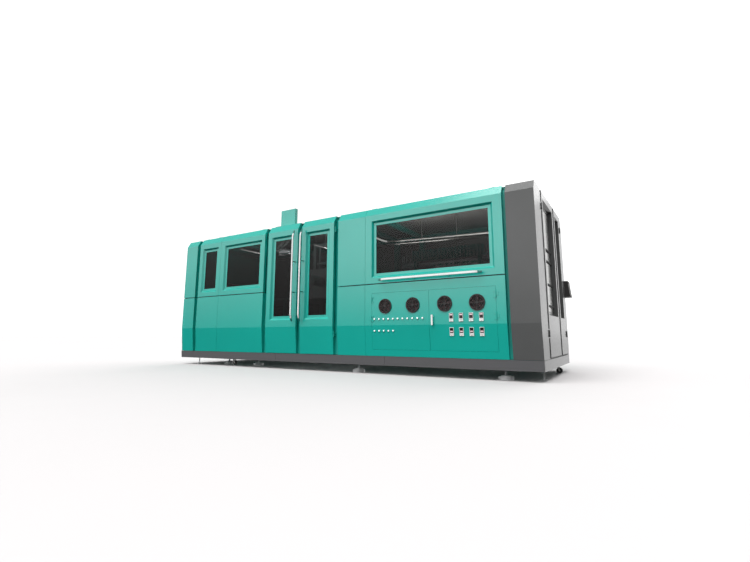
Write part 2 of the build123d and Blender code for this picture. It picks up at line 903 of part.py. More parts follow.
with BuildPart() as narrow_flap:
    folded_cover(narrow, upper)
    cut_window(front_plane(), narrow_window, flap_heights, window_recess)
    flap_knuckles(narrow)
save(narrow_flap, "narrow_flap")

with BuildPart() as narrow_flap_glass:
    pane(front_plane(), narrow_window, flap_heights, window_recess)
save(narrow_flap_glass, "narrow_flap_glass")

with BuildPart() as wide_flap:
    folded_cover(wide, upper)
    cut_window(front_plane(), wide_window, flap_heights, window_recess)
    flap_knuckles(wide)
save(wide_flap, "wide_flap")

with BuildPart() as wide_flap_glass:
    pane(front_plane(), wide_window, flap_heights, window_recess)
save(wide_flap_glass, "wide_flap_glass")

with BuildPart() as oven_flap:
    folded_cover(oven, upper)
    cut_window(front_plane(), oven_window, flap_heights, window_recess)
    flap_knuckles(oven)
save(oven_flap, "oven_flap")

with BuildPart() as oven_flap_glass:
    pane(front_plane(), oven_window, flap_heights, window_recess)
save(oven_flap_glass, "oven_flap_glass")

level_plane = Plane(origin=(x_left, y_front, oven_handle_height), x_dir=(0, 1, 0), z_dir=(0, 0, -1))
oven_handle = within(oven, oven_handle_margins)
oven_flap_handle = pull_handle(level_plane, oven_handle, middle(oven_handle) + oven_pins_past_middle)
save(oven_flap_handle, "oven_flap_handle")

# Control fascia with the opening for the cabinet doors
opening_heights = (cabinet_low, cabinet_high)
with BuildPart() as control_fascia:
    seated_cover(oven, lower)
    rim_heights = (cabinet_low - sheet, cabinet_high + sheet)
    prism(side_plane(cabinet_opening[0] - sheet), cover_outline(rim_heights, 0, flange, post_setback),
          cabinet_opening[1] - cabinet_opening[0] + 2 * sheet)
    block(cabinet_opening, (-spare, post_setback + spare), opening_heights, Mode.SUBTRACT)
save(control_fascia, "control_fascia")

# Cabinet box behind the fascia: five plates, open to the front, with rows of relays on the rear one
box_x = within(cabinet_opening, (-cabinet_box_margin, -cabinet_box_margin))
box_y = (post_setback, bed_inset - cabinet_box_clearance)
box_z = (cabinet_box_low, cabinet_box_high)
box_joint = (sheet + weld_gap, sheet + weld_gap)
with BuildPart() as cabinet_box:
    for z in (box_z[0], box_z[1] - sheet):
        block(box_x, box_y, (z, z + sheet))
    for x in (box_x[0], box_x[1] - sheet):
        block((x, x + sheet), box_y, within(box_z, box_joint))
    block(within(box_x, box_joint), (box_y[1] - sheet, box_y[1]), within(box_z, box_joint))
    relay_count = int((box_x[1] - box_x[0] - 2 * relay_pitch) // relay_pitch) + 1
    relay_start = middle(box_x) - (relay_count - 1) * relay_pitch / 2
    with BuildSketch(front_plane(box_y[1] - sheet - weld_gap), mode=Mode.PRIVATE) as relays:
        for share in relay_shares:
            for i in range(relay_count):
                with Locations((relay_start + i * relay_pitch, box_z[0] + share * cabinet_box_height)):
                    Rectangle(relay_width, relay_height)
    extrude(relays.sketch, amount=relay_depth)
save(cabinet_box, "cabinet_box")

# Cabinet doors with holes for what they carry
door_z = (cabinet_low + cabinet_door_gap, cabinet_high - cabinet_door_gap)
cabinet_left = (cabinet_opening[0] + cabinet_door_gap, cabinet_middle - fine_seam / 2)
cabinet_right = (cabinet_middle + fine_seam / 2, cabinet_opening[1] - cabinet_door_gap)
lamp_span = within(cabinet_left, lamp_margins)
lamp_pitch = (lamp_span[1] - lamp_span[0]) / (lamp_counts[0] - 1)
lamp_places = []
for z, count in zip(lamp_rows, lamp_counts):
    lamp_places += [(lamp_span[0] + i * lamp_pitch, z) for i in range(count)]
meter_end = cabinet_right[1] - meter_margin
meter_places = [(meter_end - i * meter_pitch, z) for z in meter_rows for i in range(meter_columns)]
left_fans = [cabinet_left[0] + share * (cabinet_left[1] - cabinet_left[0]) for share in fan_shares]
right_fans = [cabinet_right[0] + share * (cabinet_right[1] - cabinet_right[0]) for share in fan_shares]
latch_place = cabinet_right[0] + latch_inset
latch_pivot = (latch_place, latch_high - latch_pivot_drop)
drill = 2 * sheet
face_leaf_y = (-hinge_leaf, 0)
left_cabinet_hinge = (cabinet_opening[0] + cabinet_door_gap / 2, -hinge_radius)
right_cabinet_hinge = (cabinet_opening[1] - cabinet_door_gap / 2, -hinge_radius)

with BuildPart() as cabinet_door_left:
    folded_cover(cabinet_left, door_z, False, cabinet_flange)
    for x in left_fans:
        disc(front_plane(-spare), (x, fan_height), fan_tube_radius + fan_play, -drill, Mode.SUBTRACT)
    for x, z in lamp_places:
        disc(face_plane(x, z).offset(spare), (0, 0), lamp_shank_radius + fitting_play, -drill, Mode.SUBTRACT)
    leaf_x = (left_cabinet_hinge[0], left_cabinet_hinge[0] + hinge_leaf_depth)
    upright_outer_half(left_cabinet_hinge, cabinet_hinge_heights, leaf_x, face_leaf_y)
save(cabinet_door_left, "cabinet_door_left")

with BuildPart() as cabinet_door_right:
    folded_cover(cabinet_right, door_z, False, cabinet_flange)
    for x in right_fans:
        disc(front_plane(-spare), (x, fan_height), fan_tube_radius + fan_play, -drill, Mode.SUBTRACT)
    for x, z in meter_places:
        with BuildSketch(face_plane(x, z).offset(spare), mode=Mode.PRIVATE) as cutout:
            Rectangle(meter_body_width + 2 * fitting_play, meter_body_height + 2 * fitting_play)
        extrude(cutout.sketch, amount=-drill, mode=Mode.SUBTRACT)
    disc(front_plane(-spare), latch_pivot, latch_shank_radius + running_fit, -drill, Mode.SUBTRACT)
    leaf_x = (right_cabinet_hinge[0] - hinge_leaf_depth, right_cabinet_hinge[0])
    upright_outer_half(right_cabinet_hinge, cabinet_hinge_heights, leaf_x, face_leaf_y)
save(cabinet_door_right, "cabinet_door_right")


# Fans: a housing with its guard, and a rotor on the housing's axle
def fan_housing(x):
    place = (x, fan_height)
    ring(front_plane(), place, fan_bezel_radius, fan_bore_radius, fan_proud)
    ring(front_plane(), place, fan_tube_radius, fan_bore_radius, -fan_depth)
    guard = front_plane().offset(fan_proud - fan_guard_bar)
    for radius in fan_guard_radii:
        ring(guard, place, radius, radius - fan_guard_bar, fan_guard_bar)
    disc(guard, place, fan_hub_radius, fan_guard_bar)
    for plane in (guard, front_plane(fan_depth)):
        with BuildSketch(plane, mode=Mode.PRIVATE) as spokes:
            with Locations(place):
                Rectangle(2 * fan_bore_radius + spare, 2 * fan_guard_bar)
                Rectangle(2 * fan_guard_bar, 2 * fan_bore_radius + spare)
        extrude(spokes.sketch, amount=fan_guard_bar)
    disc(front_plane(fan_depth), place, fan_hub_radius, fan_guard_bar)
    disc(front_plane(fan_depth), place, fan_axle_radius, fan_depth - fan_guard_bar)


def fan_rotor(x):
    hub_back = fan_depth - fan_guard_bar - spare
    hub_length = fan_depth - 3 * fan_guard_bar
    disc(front_plane(hub_back), (x, fan_height), fan_hub_radius, hub_length)
    hub_middle = (x_left + x, y_front + hub_back - hub_length / 2, fan_height)
    for i in range(fan_blade_count):
        turn = 2 * math.pi * i / fan_blade_count
        root = Plane(hub_middle, x_dir=(0, 1, 0), z_dir=(math.sin(turn), 0, math.cos(turn)))
        with BuildSketch(root.offset(fan_hub_radius - 2 * spare), mode=Mode.PRIVATE) as blade:
            with Locations(Location((0, 0), fan_blade_angle)):
                Rectangle(fan_blade_chord, fan_blade_thickness)
        extrude(blade.sketch, amount=fan_bore_radius - fan_hub_radius - 2 * spare)
    disc(front_plane(fan_depth), (x, fan_height), fan_axle_radius + running_fit, fan_depth, Mode.SUBTRACT)


with BuildPart() as fan_housings_left:
    for x in left_fans:
        fan_housing(x)
save(fan_housings_left, "fan_housings_left")

with BuildPart() as fan_housings_right:
    for x in right_fans:
        fan_housing(x)
save(fan_housings_right, "fan_housings_right")

for number, x in enumerate(left_fans + right_fans, 1):
    with BuildPart() as rotor:
        fan_rotor(x)
    save(rotor, "fan_rotor_" + str(number))

# Indicator lamps, each with a shank through the door
with BuildPart() as indicator_lamps:
    for x, z in lamp_places:
        disc(face_plane(x, z), (0, 0), lamp_radius, lamp_proud)
        disc(face_plane(x, z), (0, 0), lamp_shank_radius, -lamp_shank_length)
save(indicator_lamps, "indicator_lamps")

# Temperature controllers: a bezel with two display windows and a body behind the door
with BuildPart() as temperature_controllers:
    for x, z in meter_places:
        seat = face_plane(x, z)
        with BuildSketch(seat, mode=Mode.PRIVATE) as bezel:
            Rectangle(meter_width, meter_height)
        extrude(bezel.sketch, amount=meter_proud)
        with BuildSketch(seat, mode=Mode.PRIVATE) as body:
            Rectangle(meter_body_width, meter_body_height)
        extrude(body.sketch, amount=-meter_body_depth)
        with BuildSketch(seat.offset(meter_proud), mode=Mode.PRIVATE) as windows:
            for height, size in meter_window_heights:
                with Locations((0, height)):
                    Rectangle(meter_window_width, size)
        extrude(windows.sketch, amount=-meter_window_depth, mode=Mode.SUBTRACT)
save(temperature_controllers, "temperature_controllers")

# Latch handle: a lever in front, its shank through the door and a cam behind
with BuildPart() as latch_handle:
    lever = front_plane(-latch_standoff)
    with BuildSketch(lever, mode=Mode.PRIVATE) as bar:
        with Locations((latch_place, middle((latch_low, latch_high)))):
            RectangleRounded(latch_width, latch_high - latch_low, latch_width / 4)
    extrude(bar.sketch, amount=latch_thickness)
    shank_back = cabinet_flange + latch_cam_thickness
    disc(front_plane(shank_back), latch_pivot, latch_shank_radius, shank_back + latch_standoff)
    with BuildSketch(front_plane(shank_back), mode=Mode.PRIVATE) as cam:
        with Locations((latch_pivot[0], latch_pivot[1] - latch_cam_length / 2)):
            Rectangle(latch_cam_width, latch_cam_length)
    extrude(cam.sketch, amount=latch_cam_thickness)
save(latch_handle, "latch_handle")

# The housing's half of every hinge
with BuildPart() as frame_hinges:
    leaf_y = (hinge_depth, hinge_depth + hinge_leaf_depth)
    for span in (narrow, wide, oven):
        for x in hinge_places(span):
            leaf_x = (x - hinge_knuckle / 2, x + hinge_knuckle / 2)
            block(leaf_x, leaf_y, (roof_height, roof_height + hinge_leaf))
            middle_knuckle(side_plane(x), (hinge_depth, hinge_height))
    for place in (left_hinge, right_hinge):
        leaf_x = (place[0] - hinge_leaf / 2, place[0] + hinge_leaf / 2)
        upright_middle_half(place, tall_hinge_heights, leaf_x, (place[1], post_setback))
    leaf_x = (left_cabinet_hinge[0] - hinge_leaf_depth, left_cabinet_hinge[0])
    upright_middle_half(left_cabinet_hinge, cabinet_hinge_heights, leaf_x, face_leaf_y)
    leaf_x = (right_cabinet_hinge[0], right_cabinet_hinge[0] + hinge_leaf_depth)
    upright_middle_half(right_cabinet_hinge, cabinet_hinge_heights, leaf_x, face_leaf_y)
    leaf_y = (front_end_hinge[1] - hinge_leaf_depth, front_end_hinge[1])
    upright_middle_half(front_end_hinge, tall_hinge_heights, end_leaf_x, leaf_y)
    leaf_y = (rear_end_hinge[1], rear_end_hinge[1] + hinge_leaf_depth)
    upright_middle_half(rear_end_hinge, tall_hinge_heights, end_leaf_x, leaf_y)
save(frame_hinges, "frame_hinges")

# Roof box, a slim upright case, with the low cable entry beside it
with BuildPart() as roof_box:
    case_x = (roof_box_left, roof_box_left + roof_box_width)
    case_y = (roof_box_inset, roof_box_inset + roof_box_depth)
    block(case_x, case_y, (roof_height, roof_height + roof_box_height))
    chamfer(roof_box.edges().filter_by(Axis.Z), roof_box_edge)
    entry_right = roof_box_left - weld_gap
    entry_left = entry_right - cable_entry_width
    entry_top = roof_height + cable_entry_height
    entry = [(entry_left, roof_height), (entry_right, roof_height), (entry_right, entry_top)]
    entry += [(entry_left + cable_entry_slope, entry_top)]
    prism(front_plane(case_y[1]), entry, roof_box_depth)
save(roof_box, "roof_box")

# Console arm: a plate on the rear cover, two bars and an upright pivot post
pivot_x = length - console_pivot_inset
pivot_y = depth + console_pivot_reach
bar_low = console_bar_middle - console_lug / 2 - console_bar - slide_gap
bar_high = console_bar_middle + console_lug / 2 + slide_gap
with BuildPart() as console_arm:
    plate_x = (pivot_x - console_plate_width / 2, pivot_x + console_plate_width / 2)
    plate_z = (console_bar_middle - console_plate_height / 2, console_bar_middle + console_plate_height / 2)
    block(plate_x, (depth, depth + console_plate), plate_z)
    bar_x = (pivot_x - console_post_radius, pivot_x + console_post_radius)
    for z in (bar_low, bar_high):
        block(bar_x, (depth, pivot_y), (z, z + console_bar))
        disc(floor_plane(z), (pivot_x, pivot_y), console_post_radius, console_bar)
    disc(floor_plane(bar_low), (pivot_x, pivot_y), console_pin_radius, bar_high - bar_low)
save(console_arm, "console_arm")

# Console: a wedge case with a sunk screen, on a lug that turns on the post
console_y = (depth + console_reach - console_width, depth + console_reach)
with BuildPart() as console:
    back_x = length - console_back
    foot_x = length + console_overhang
    top_x = back_x + console_top_depth
    top_z = console_low + console_height
    case = [(back_x, console_low), (foot_x, console_low), (top_x, top_z), (back_x, top_z)]
    prism(front_plane(console_y[1]), case, console_width)
    screen_face = console.faces().filter_by(lambda f: f.normal_at().X > 0.5 and f.normal_at().Z > 0)[0]
    screen_size = (console_width, math.hypot(console_height, foot_x - top_x))
    with BuildSketch(Plane(screen_face), mode=Mode.PRIVATE) as screen:
        Rectangle(*[s - 2 * console_screen_rim for s in sorted(screen_size)])
    extrude(screen.sketch, amount=-console_screen_depth, mode=Mode.SUBTRACT)
    lug_z = (console_bar_middle - console_lug / 2, console_bar_middle + console_lug / 2)
    lug_bore = console_pin_radius + running_fit
    block((pivot_x, back_x), (pivot_y - console_lug / 2, pivot_y + console_lug / 2), lug_z)
    disc(floor_plane(lug_z[0]), (pivot_x, pivot_y), console_lug / 2, console_lug)
    disc(floor_plane(lug_z[0]), (pivot_x, pivot_y), lug_bore, console_lug, Mode.SUBTRACT)
save(console, "console")

# Levelling mounts under the frame, and slender levelling feet at its ends
with BuildPart() as levelling_feet:
    for place_x, inset in zip(mount_stations, mount_insets):
        for y in (inset, depth - inset):
            disc(floor_plane(), (place_x, y), mount_pad_radius, mount_pad_height)
            disc(floor_plane(mount_pad_height), (place_x, y), mount_plate_radius, mount_plate_height)
            stud_low = mount_pad_height + mount_plate_height
            disc(floor_plane(stud_low), (place_x, y), mount_stud_radius, rail_low - stud_low)
            with BuildSketch(floor_plane(stud_low + mount_nut_height), mode=Mode.PRIVATE) as nut:
                with Locations((place_x, y)):
                    RegularPolygon(mount_nut_radius, 6)
            extrude(nut.sketch, amount=mount_nut_height)
    for place_x, inset in foot_places:
        for y in (inset, depth - inset):
            disc(floor_plane(), (place_x, y), foot_pad_radius, foot_pad_height)
            disc(floor_plane(foot_pad_height), (place_x, y), foot_stem_radius, rail_low - foot_pad_height)
save(levelling_feet, "levelling_feet")

# Casters: a fork that swivels in its socket, and a wheel on the fork's axle
axle_height = caster_radius + caster_lift
crown_top = rail_low - caster_socket_height - slide_gap
fork_inner = caster_width / 2 + fork_clearance
for name, place in zip(("front", "rear"), caster_places):
    axle_x = place[0] + caster_trail
    with BuildPart() as caster_fork:
        disc(floor_plane(crown_top - crown_thickness), place, 2 * caster_stem_radius, crown_thickness)
        disc(floor_plane(crown_top), place, caster_stem_radius, caster_socket_height - spare)
        for side in (-1, 1):
            leg_y = place[1] + side * (fork_inner + fork_plate / 2)
            crown = [(place[0] + end * crown_half_width, crown_top) for end in (1, -1)]
            with BuildSketch(front_plane(leg_y + fork_plate / 2), mode=Mode.PRIVATE) as leg:
                with BuildLine():
                    Polyline((axle_x - fork_eye_radius, axle_height), (axle_x + fork_eye_radius, axle_height),
                             *crown, close=True)
                make_face()
                with Locations((axle_x, axle_height)):
                    Circle(fork_eye_radius)
            extrude(leg.sketch, amount=fork_plate)
        disc(front_plane(place[1] + fork_inner), (axle_x, axle_height), caster_axle_radius, 2 * fork_inner)
    save(caster_fork, "caster_fork_" + name)
    with BuildPart() as caster_wheel:
        wheel_back = front_plane(place[1] + caster_width / 2)
        disc(wheel_back, (axle_x, axle_height), caster_radius, caster_width)
        disc(wheel_back, (axle_x, axle_height), caster_axle_radius + running_fit, caster_width, Mode.SUBTRACT)
    save(caster_wheel, "caster_wheel_" + name)

# Machine bed: plate and legs, the transfer rail, the sprocket bearings and the chain's guide rail
sprocket_places = ((sprocket_left, sprocket_inset), (sprocket_right, sprocket_inset))
chain_middle = (sprocket_left + sprocket_spacing / 2, sprocket_inset)
chain_radius = chain_inner_radius + chain_width / 2
guide_high = chain_low - weld_gap


def race_track(height, amount):
    """Closed loop round both sprockets, as wide as the chain."""
    with BuildSketch(floor_plane(height), mode=Mode.PRIVATE) as track:
        with Locations(chain_middle):
            SlotCenterToCenter(sprocket_spacing, 2 * (chain_inner_radius + chain_width))
            SlotCenterToCenter(sprocket_spacing, 2 * chain_inner_radius, mode=Mode.SUBTRACT)
    extrude(track.sketch, amount=amount)


with BuildPart() as machine_bed:
    block(bed, (bed_inset, depth - bed_inset), (bed_height, bed_top))
    leg_inset = bed_inset + bed_leg / 2
    leg_places = [(x, y) for x in bed_legs for y in (leg_inset, depth - leg_inset)]
    tubes(floor_plane(skirt_top), leg_places, (bed_leg, bed_leg), post_wall, bed_height - skirt_top)
    rail_length = transfer_travel + carriage_length + 2 * transfer_end_margin
    rail_x = (transfer_rail_start, transfer_rail_start + rail_length)
    rail_y = (transfer_middle - transfer_rail_width / 2, transfer_middle + transfer_rail_width / 2)
    block(rail_x, rail_y, (bed_top, bed_top + transfer_rail_height))
    for place in sprocket_places:
        disc(floor_plane(bed_top), place, bearing_radius, bearing_height)
        disc(floor_plane(bed_top + spare), place, shaft_radius + running_fit, bearing_height, Mode.SUBTRACT)
    race_track(guide_high - guide_rail_height, guide_rail_height)
    guide_posts = [(chain_middle[0] + i * sprocket_spacing / 2, sprocket_inset + side * chain_radius)
                   for i in (-1, 0, 1) for side in (-1, 1)]
    for place in guide_posts:
        disc(floor_plane(bed_top), place, guide_post_radius, guide_high - spare - bed_top)
save(machine_bed, "machine_bed")

# Clamp frame: end plates with ram cylinders, tie bars, gantry columns, top beam and guide rods
clamp_x = (mould_middle - clamp_width / 2, mould_middle + clamp_width / 2)
clamp_centre = depth / 2
clamp_z = (bed_top, bed_top + clamp_height)
plate_inner = (clamp_centre - clamp_span / 2 + clamp_plate, clamp_centre + clamp_span / 2 - clamp_plate)
tie_places = [(x, z) for x in (clamp_x[0] + tie_bar_edge, clamp_x[1] - tie_bar_edge)
              for z in (clamp_z[0] + tie_bar_edge, clamp_z[1] - tie_bar_edge)]
ram_height = middle((bed_top + mould_lift, bed_top + mould_lift + mould_height))
gantry_top = bed_top + gantry_height
column_x = (clamp_x[0] - gantry_column, clamp_x[1] + gantry_column)
guide_places = [(x, clamp_centre) for x in (clamp_x[0] + guide_inset, clamp_x[1] - guide_inset)]
mould_top = bed_top + mould_lift + mould_height
head_low = bed_top + head_lift
with BuildPart() as clamp_frame:
    for side in (-1, 1):
        inner = clamp_centre + side * (clamp_span / 2 - clamp_plate)
        outer_face = clamp_centre + side * clamp_span / 2
        block(clamp_x, sorted((inner, outer_face)), clamp_z)
        cylinder_plane = front_plane(max(outer_face, outer_face + side * ram_cylinder_length))
        disc(cylinder_plane, (mould_middle, ram_height), ram_cylinder_radius, ram_cylinder_length)
    block(column_x, (clamp_centre - gantry_column / 2, clamp_centre + gantry_column / 2),
          (bed_top, gantry_top))
    block((column_x[0] + gantry_column - spare, column_x[1] - gantry_column + spare),
          (clamp_centre - gantry_column / 2, clamp_centre + gantry_column / 2),
          (bed_top, gantry_top - gantry_column), Mode.SUBTRACT)
    reach = clamp_span / 2 + ram_cylinder_length - clamp_plate
    disc(front_plane(clamp_centre + reach), (mould_middle, ram_height), ram_radius + running_fit, 2 * reach,
         Mode.SUBTRACT)
    bar_length = clamp_span - 2 * clamp_plate
    for place in tie_places:
        disc(front_plane(plate_inner[1]), place, tie_bar_radius, bar_length)
    for place in guide_places:
        disc(floor_plane(head_low), place, guide_radius, gantry_top - gantry_column - head_low)
save(clamp_frame, "clamp_frame")


# Platens: each carries half of the moulds and slides on the tie bars, pushed by its ram
def platen(side):
    """The front platen has side -1, the rear one has side 1."""
    parting = clamp_centre + side * parting_gap / 2
    mould_back = parting + side * mould_thickness
    platen_back = mould_back + side * platen_thickness
    mould_x = (mould_middle - mould_width / 2, mould_middle + mould_width / 2)
    mould_z = (bed_top + mould_lift, mould_top)
    block(mould_x, sorted((parting, mould_back)), mould_z)
    for i in range(cavity_count):
        place = (mould_middle + (i - (cavity_count - 1) / 2) * cavity_pitch, clamp_centre)
        neck_low = mould_z[0] + (mould_height - cavity_height) / 3
        disc(floor_plane(neck_low), place, cavity_radius, cavity_height, Mode.SUBTRACT)
        disc(floor_plane(neck_low), place, neck_radius, mould_height, Mode.SUBTRACT)
    block(clamp_x, sorted((mould_back, platen_back)), (clamp_z[0] + platen_lift, clamp_z[1] - platen_lift))
    ram_reach = clamp_span / 2 + ram_cylinder_length / 4 - abs(platen_back - clamp_centre)
    ram_plane = front_plane(max(platen_back, platen_back + side * ram_reach))
    disc(ram_plane, (mould_middle, ram_height), ram_radius, ram_reach)
    for place in tie_places:
        disc(front_plane(max(mould_back, platen_back)), place, tie_bar_radius + running_fit, platen_thickness,
             Mode.SUBTRACT)


with BuildPart() as front_platen:
    platen(-1)
save(front_platen, "front_platen")

with BuildPart() as rear_platen:
    platen(1)
save(rear_platen, "rear_platen")

# Blow head: a beam on the guide rods with a nozzle above each cavity
cavity_places = [(mould_middle + (i - (cavity_count - 1) / 2) * cavity_pitch, clamp_centre)
                 for i in range(cavity_count)]
beam_x = (clamp_x[0] + guide_inset / 2, clamp_x[1] - guide_inset / 2)
beam_y = (clamp_centre - head_depth / 2, clamp_centre + head_depth / 2)
with BuildPart() as blow_head:
    block(beam_x, beam_y, (head_low + slide_gap, head_low + head_thickness))
    for place in cavity_places:
        disc(floor_plane(mould_top + nozzle_gap), place, nozzle_radius, head_low + spare - mould_top)
        disc(floor_plane(mould_top), place, stretch_rod_radius + running_fit, head_overlap + head_thickness,
             Mode.SUBTRACT)
    for place in guide_places:
        disc(floor_plane(head_low), place, guide_radius + running_fit, head_thickness, Mode.SUBTRACT)
save(blow_head, "blow_head")

# Stretch rods hang from their carriage through the blow head into the moulds
carriage_low = bed_top + carriage_lift
rod_low = mould_top - stretch_rod_depth
with BuildPart() as stretch_rods:
    block(beam_x, beam_y, (carriage_low, carriage_low + stretch_plate))
    for place in cavity_places:
        disc(floor_plane(rod_low), place, stretch_rod_radius, carriage_low + spare - rod_low)
    for place in guide_places:
        disc(floor_plane(carriage_low), place, guide_radius + running_fit, stretch_plate, Mode.SUBTRACT)
save(stretch_rods, "stretch_rods")


# Oven: finned lamp banks beside the chain, the chain with its mandrels and preforms, and two sprockets
def lamp_bank_row(side):
    """The front bank has side -1, the rear bank has side 1."""
    inner = sprocket_inset + side * (chain_radius + lamp_bank_gap)
    plate_outer = inner + side * lamp_bank_plate
    fin_outer = plate_outer + side * fin_depth
    fin_high = fin_low + fin_height
    block(lamp_bank, sorted((inner, plate_outer)), (fin_low, fin_high))
    fin_count = int((lamp_bank[1] - lamp_bank[0] - fin_thickness) // fin_pitch) + 1
    first_fin = lamp_bank[0] + fin_thickness / 2
    with BuildSketch(floor_plane(fin_low), mode=Mode.PRIVATE) as fins:
        for i in range(fin_count):
            with Locations((first_fin + i * fin_pitch, middle((plate_outer, fin_outer)))):
                Rectangle(fin_thickness, fin_depth + spare)
    extrude(fins.sketch, amount=fin_height)
    for x in (lamp_bank[0] + fin_pitch, lamp_bank[1] - fin_pitch):
        block((x - fin_pitch / 2, x + fin_pitch / 2), sorted((inner, fin_outer)), (bed_top, fin_low))


with BuildPart() as lamp_banks:
    lamp_bank_row(-1)
    lamp_bank_row(1)
save(lamp_banks, "lamp_banks")


def mandrel_places():
    """Points round the chain: evenly along its straight runs and round its two ends."""
    places = []
    for i in range(straight_mandrels):
        x = sprocket_left + sprocket_spacing * (i + 0.5) / straight_mandrels
        places += [(x, sprocket_inset - chain_radius), (x, sprocket_inset + chain_radius)]
    for i in range(curve_mandrels):
        turn = math.pi * (i + 0.5) / curve_mandrels
        reach_x = chain_radius * math.sin(turn)
        reach_y = chain_radius * math.cos(turn)
        places += [(sprocket_left - reach_x, sprocket_inset + reach_y)]
        places += [(sprocket_right + reach_x, sprocket_inset + reach_y)]
    return places


def hexagons(height, radius, amount):
    with BuildSketch(floor_plane(height), mode=Mode.PRIVATE) as outline:
        with Locations(*mandrel_places()):
            RegularPolygon(radius, 6)
    extrude(outline.sketch, amount=amount)


chain_high = chain_low + chain_height
with BuildPart() as preform_chain:
    race_track(chain_low, chain_height)
    hexagons(chain_high, mandrel_radius, mandrel_height)
    hexagons(chain_high + mandrel_height, preform_radius, preform_height)
save(preform_chain, "preform_chain")


def sprocket(place):
    """Toothed wheel on an upright shaft that stands in its bearing."""
    wheel_low = chain_low + (chain_height - sprocket_thickness) / 2
    outline = []
    for i in range(2 * sprocket_teeth):
        turn = math.pi * i / sprocket_teeth
        radius = sprocket_radius - sprocket_tooth * (i % 2)
        outline.append((place[0] + radius * math.cos(turn), place[1] + radius * math.sin(turn)))
    prism(floor_plane(wheel_low), outline, sprocket_thickness)
    shaft_low = bed_top + spare + slide_gap
    disc(floor_plane(shaft_low), place, shaft_radius, wheel_low + sprocket_thickness - bed_top)


with BuildPart() as drive_sprocket:
    sprocket(sprocket_places[0])
save(drive_sprocket, "drive_sprocket")

with BuildPart() as idler_sprocket:
    sprocket(sprocket_places[1])
save(idler_sprocket, "idler_sprocket")

# Transfer carriage: a saddle on the bed's rail with four gripper fingers
with BuildPart() as transfer_carriage:
    saddle_x = (rail_x[0] + transfer_end_margin, rail_x[0] + transfer_end_margin + carriage_length)
    half_rail = transfer_rail_width / 2 + slide_gap
    saddle_y = (transfer_middle - half_rail - carriage_cheek, transfer_middle + half_rail + carriage_cheek)
    rail_top = bed_top + transfer_rail_height + slide_gap
    block(saddle_x, saddle_y, (bed_top + slide_gap, rail_top + carriage_roof))
    groove_y = (transfer_middle - half_rail, transfer_middle + half_rail)
    block(saddle_x, groove_y, (bed_top, rail_top), Mode.SUBTRACT)
    finger_z = (rail_top + carriage_roof, rail_top + carriage_roof + gripper_height)
    for i in range(gripper_count):
        x = saddle_x[0] + gripper_width / 2 + i * gripper_gap
        block((x, x + gripper_width), (saddle_y[0] - gripper_reach, saddle_y[1]), finger_z)
save(transfer_carriage, "transfer_carriage")
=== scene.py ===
import json
import math

import bmesh
import bpy
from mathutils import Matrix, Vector


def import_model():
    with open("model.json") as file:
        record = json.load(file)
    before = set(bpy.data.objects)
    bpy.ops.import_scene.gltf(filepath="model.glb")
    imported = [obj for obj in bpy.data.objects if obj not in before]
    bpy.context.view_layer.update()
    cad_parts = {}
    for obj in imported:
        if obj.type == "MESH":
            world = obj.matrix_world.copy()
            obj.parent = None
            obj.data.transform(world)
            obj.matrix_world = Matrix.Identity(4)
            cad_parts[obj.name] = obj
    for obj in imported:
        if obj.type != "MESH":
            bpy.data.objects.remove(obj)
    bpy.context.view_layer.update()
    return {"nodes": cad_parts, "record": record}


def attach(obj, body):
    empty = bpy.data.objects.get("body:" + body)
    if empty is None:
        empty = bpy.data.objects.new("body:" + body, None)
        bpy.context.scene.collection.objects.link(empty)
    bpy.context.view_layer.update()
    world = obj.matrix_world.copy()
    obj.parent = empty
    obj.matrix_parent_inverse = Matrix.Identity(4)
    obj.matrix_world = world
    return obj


# Blow moulding machine: paints, glass, small fittings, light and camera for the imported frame.
# Lengths are in metres, in the frame's own axes: x from left to right, y from front to rear, z up.

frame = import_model()
nodes = frame["nodes"]
slots = {s["node"]: s["material_slot"] for s in frame["record"]["subparts"]}
x_axis, y_axis, z_axis = Vector((1, 0, 0)), Vector((0, 1, 0)), Vector((0, 0, 1))

# The machine's main places, as its solids have them
left_end = -3.0325
corner_groove = left_end + 0.353
panel_groove = left_end + 2.019
door_groove = left_end + 2.702
fixed_groove = left_end + 3.366
oven_seam = left_end + 3.85
grey_joint = left_end + 5.673
right_end = left_end + 6
front_face = -1.014
skirt_top = 0.227
crease = 0.607
seam_height = 1.134
roof_top = 2.151
sheet = 0.003
fine_seam = 0.003
cover_lift = 0.003
lean_angle = math.radians(4.81)
lean_depth = 0.032
post_face = front_face + 0.076
hinge_heights = (skirt_top + 0.273, roof_top - 0.201)
hanger_gap = 0.001
hanger_top = roof_top - sheet - hanger_gap

# The control cabinet's doors, and the rows of fittings on them
cabinet_span = (oven_seam + 0.106, grey_joint - 0.127)
cabinet_middle = (cabinet_span[0] + cabinet_span[1]) / 2
cabinet_left = (cabinet_span[0], cabinet_middle - fine_seam / 2)
cabinet_right = (cabinet_middle + fine_seam / 2, cabinet_span[1])
cabinet_low = skirt_top + 0.078
cabinet_high = seam_height - 0.118
fan_height = cabinet_low + 0.76 * (cabinet_high - cabinet_low)
fan_shares = (0.25, 0.735)
fan_proud = 0.012
upper_row = fan_height - 0.16
meter_rows = (upper_row, 0.5233)
meter_columns = 4
meter_pitch = 0.117
meter_first = cabinet_right[1] - 0.167 - meter_pitch * (meter_columns - 1)
lamp_rows = (upper_row, 0.53892)
lamp_counts = (11, 5)
lamp_pitch = 0.067
lamp_first = cabinet_left[0] + 0.042
fitting_proud = 0.009


# Materials

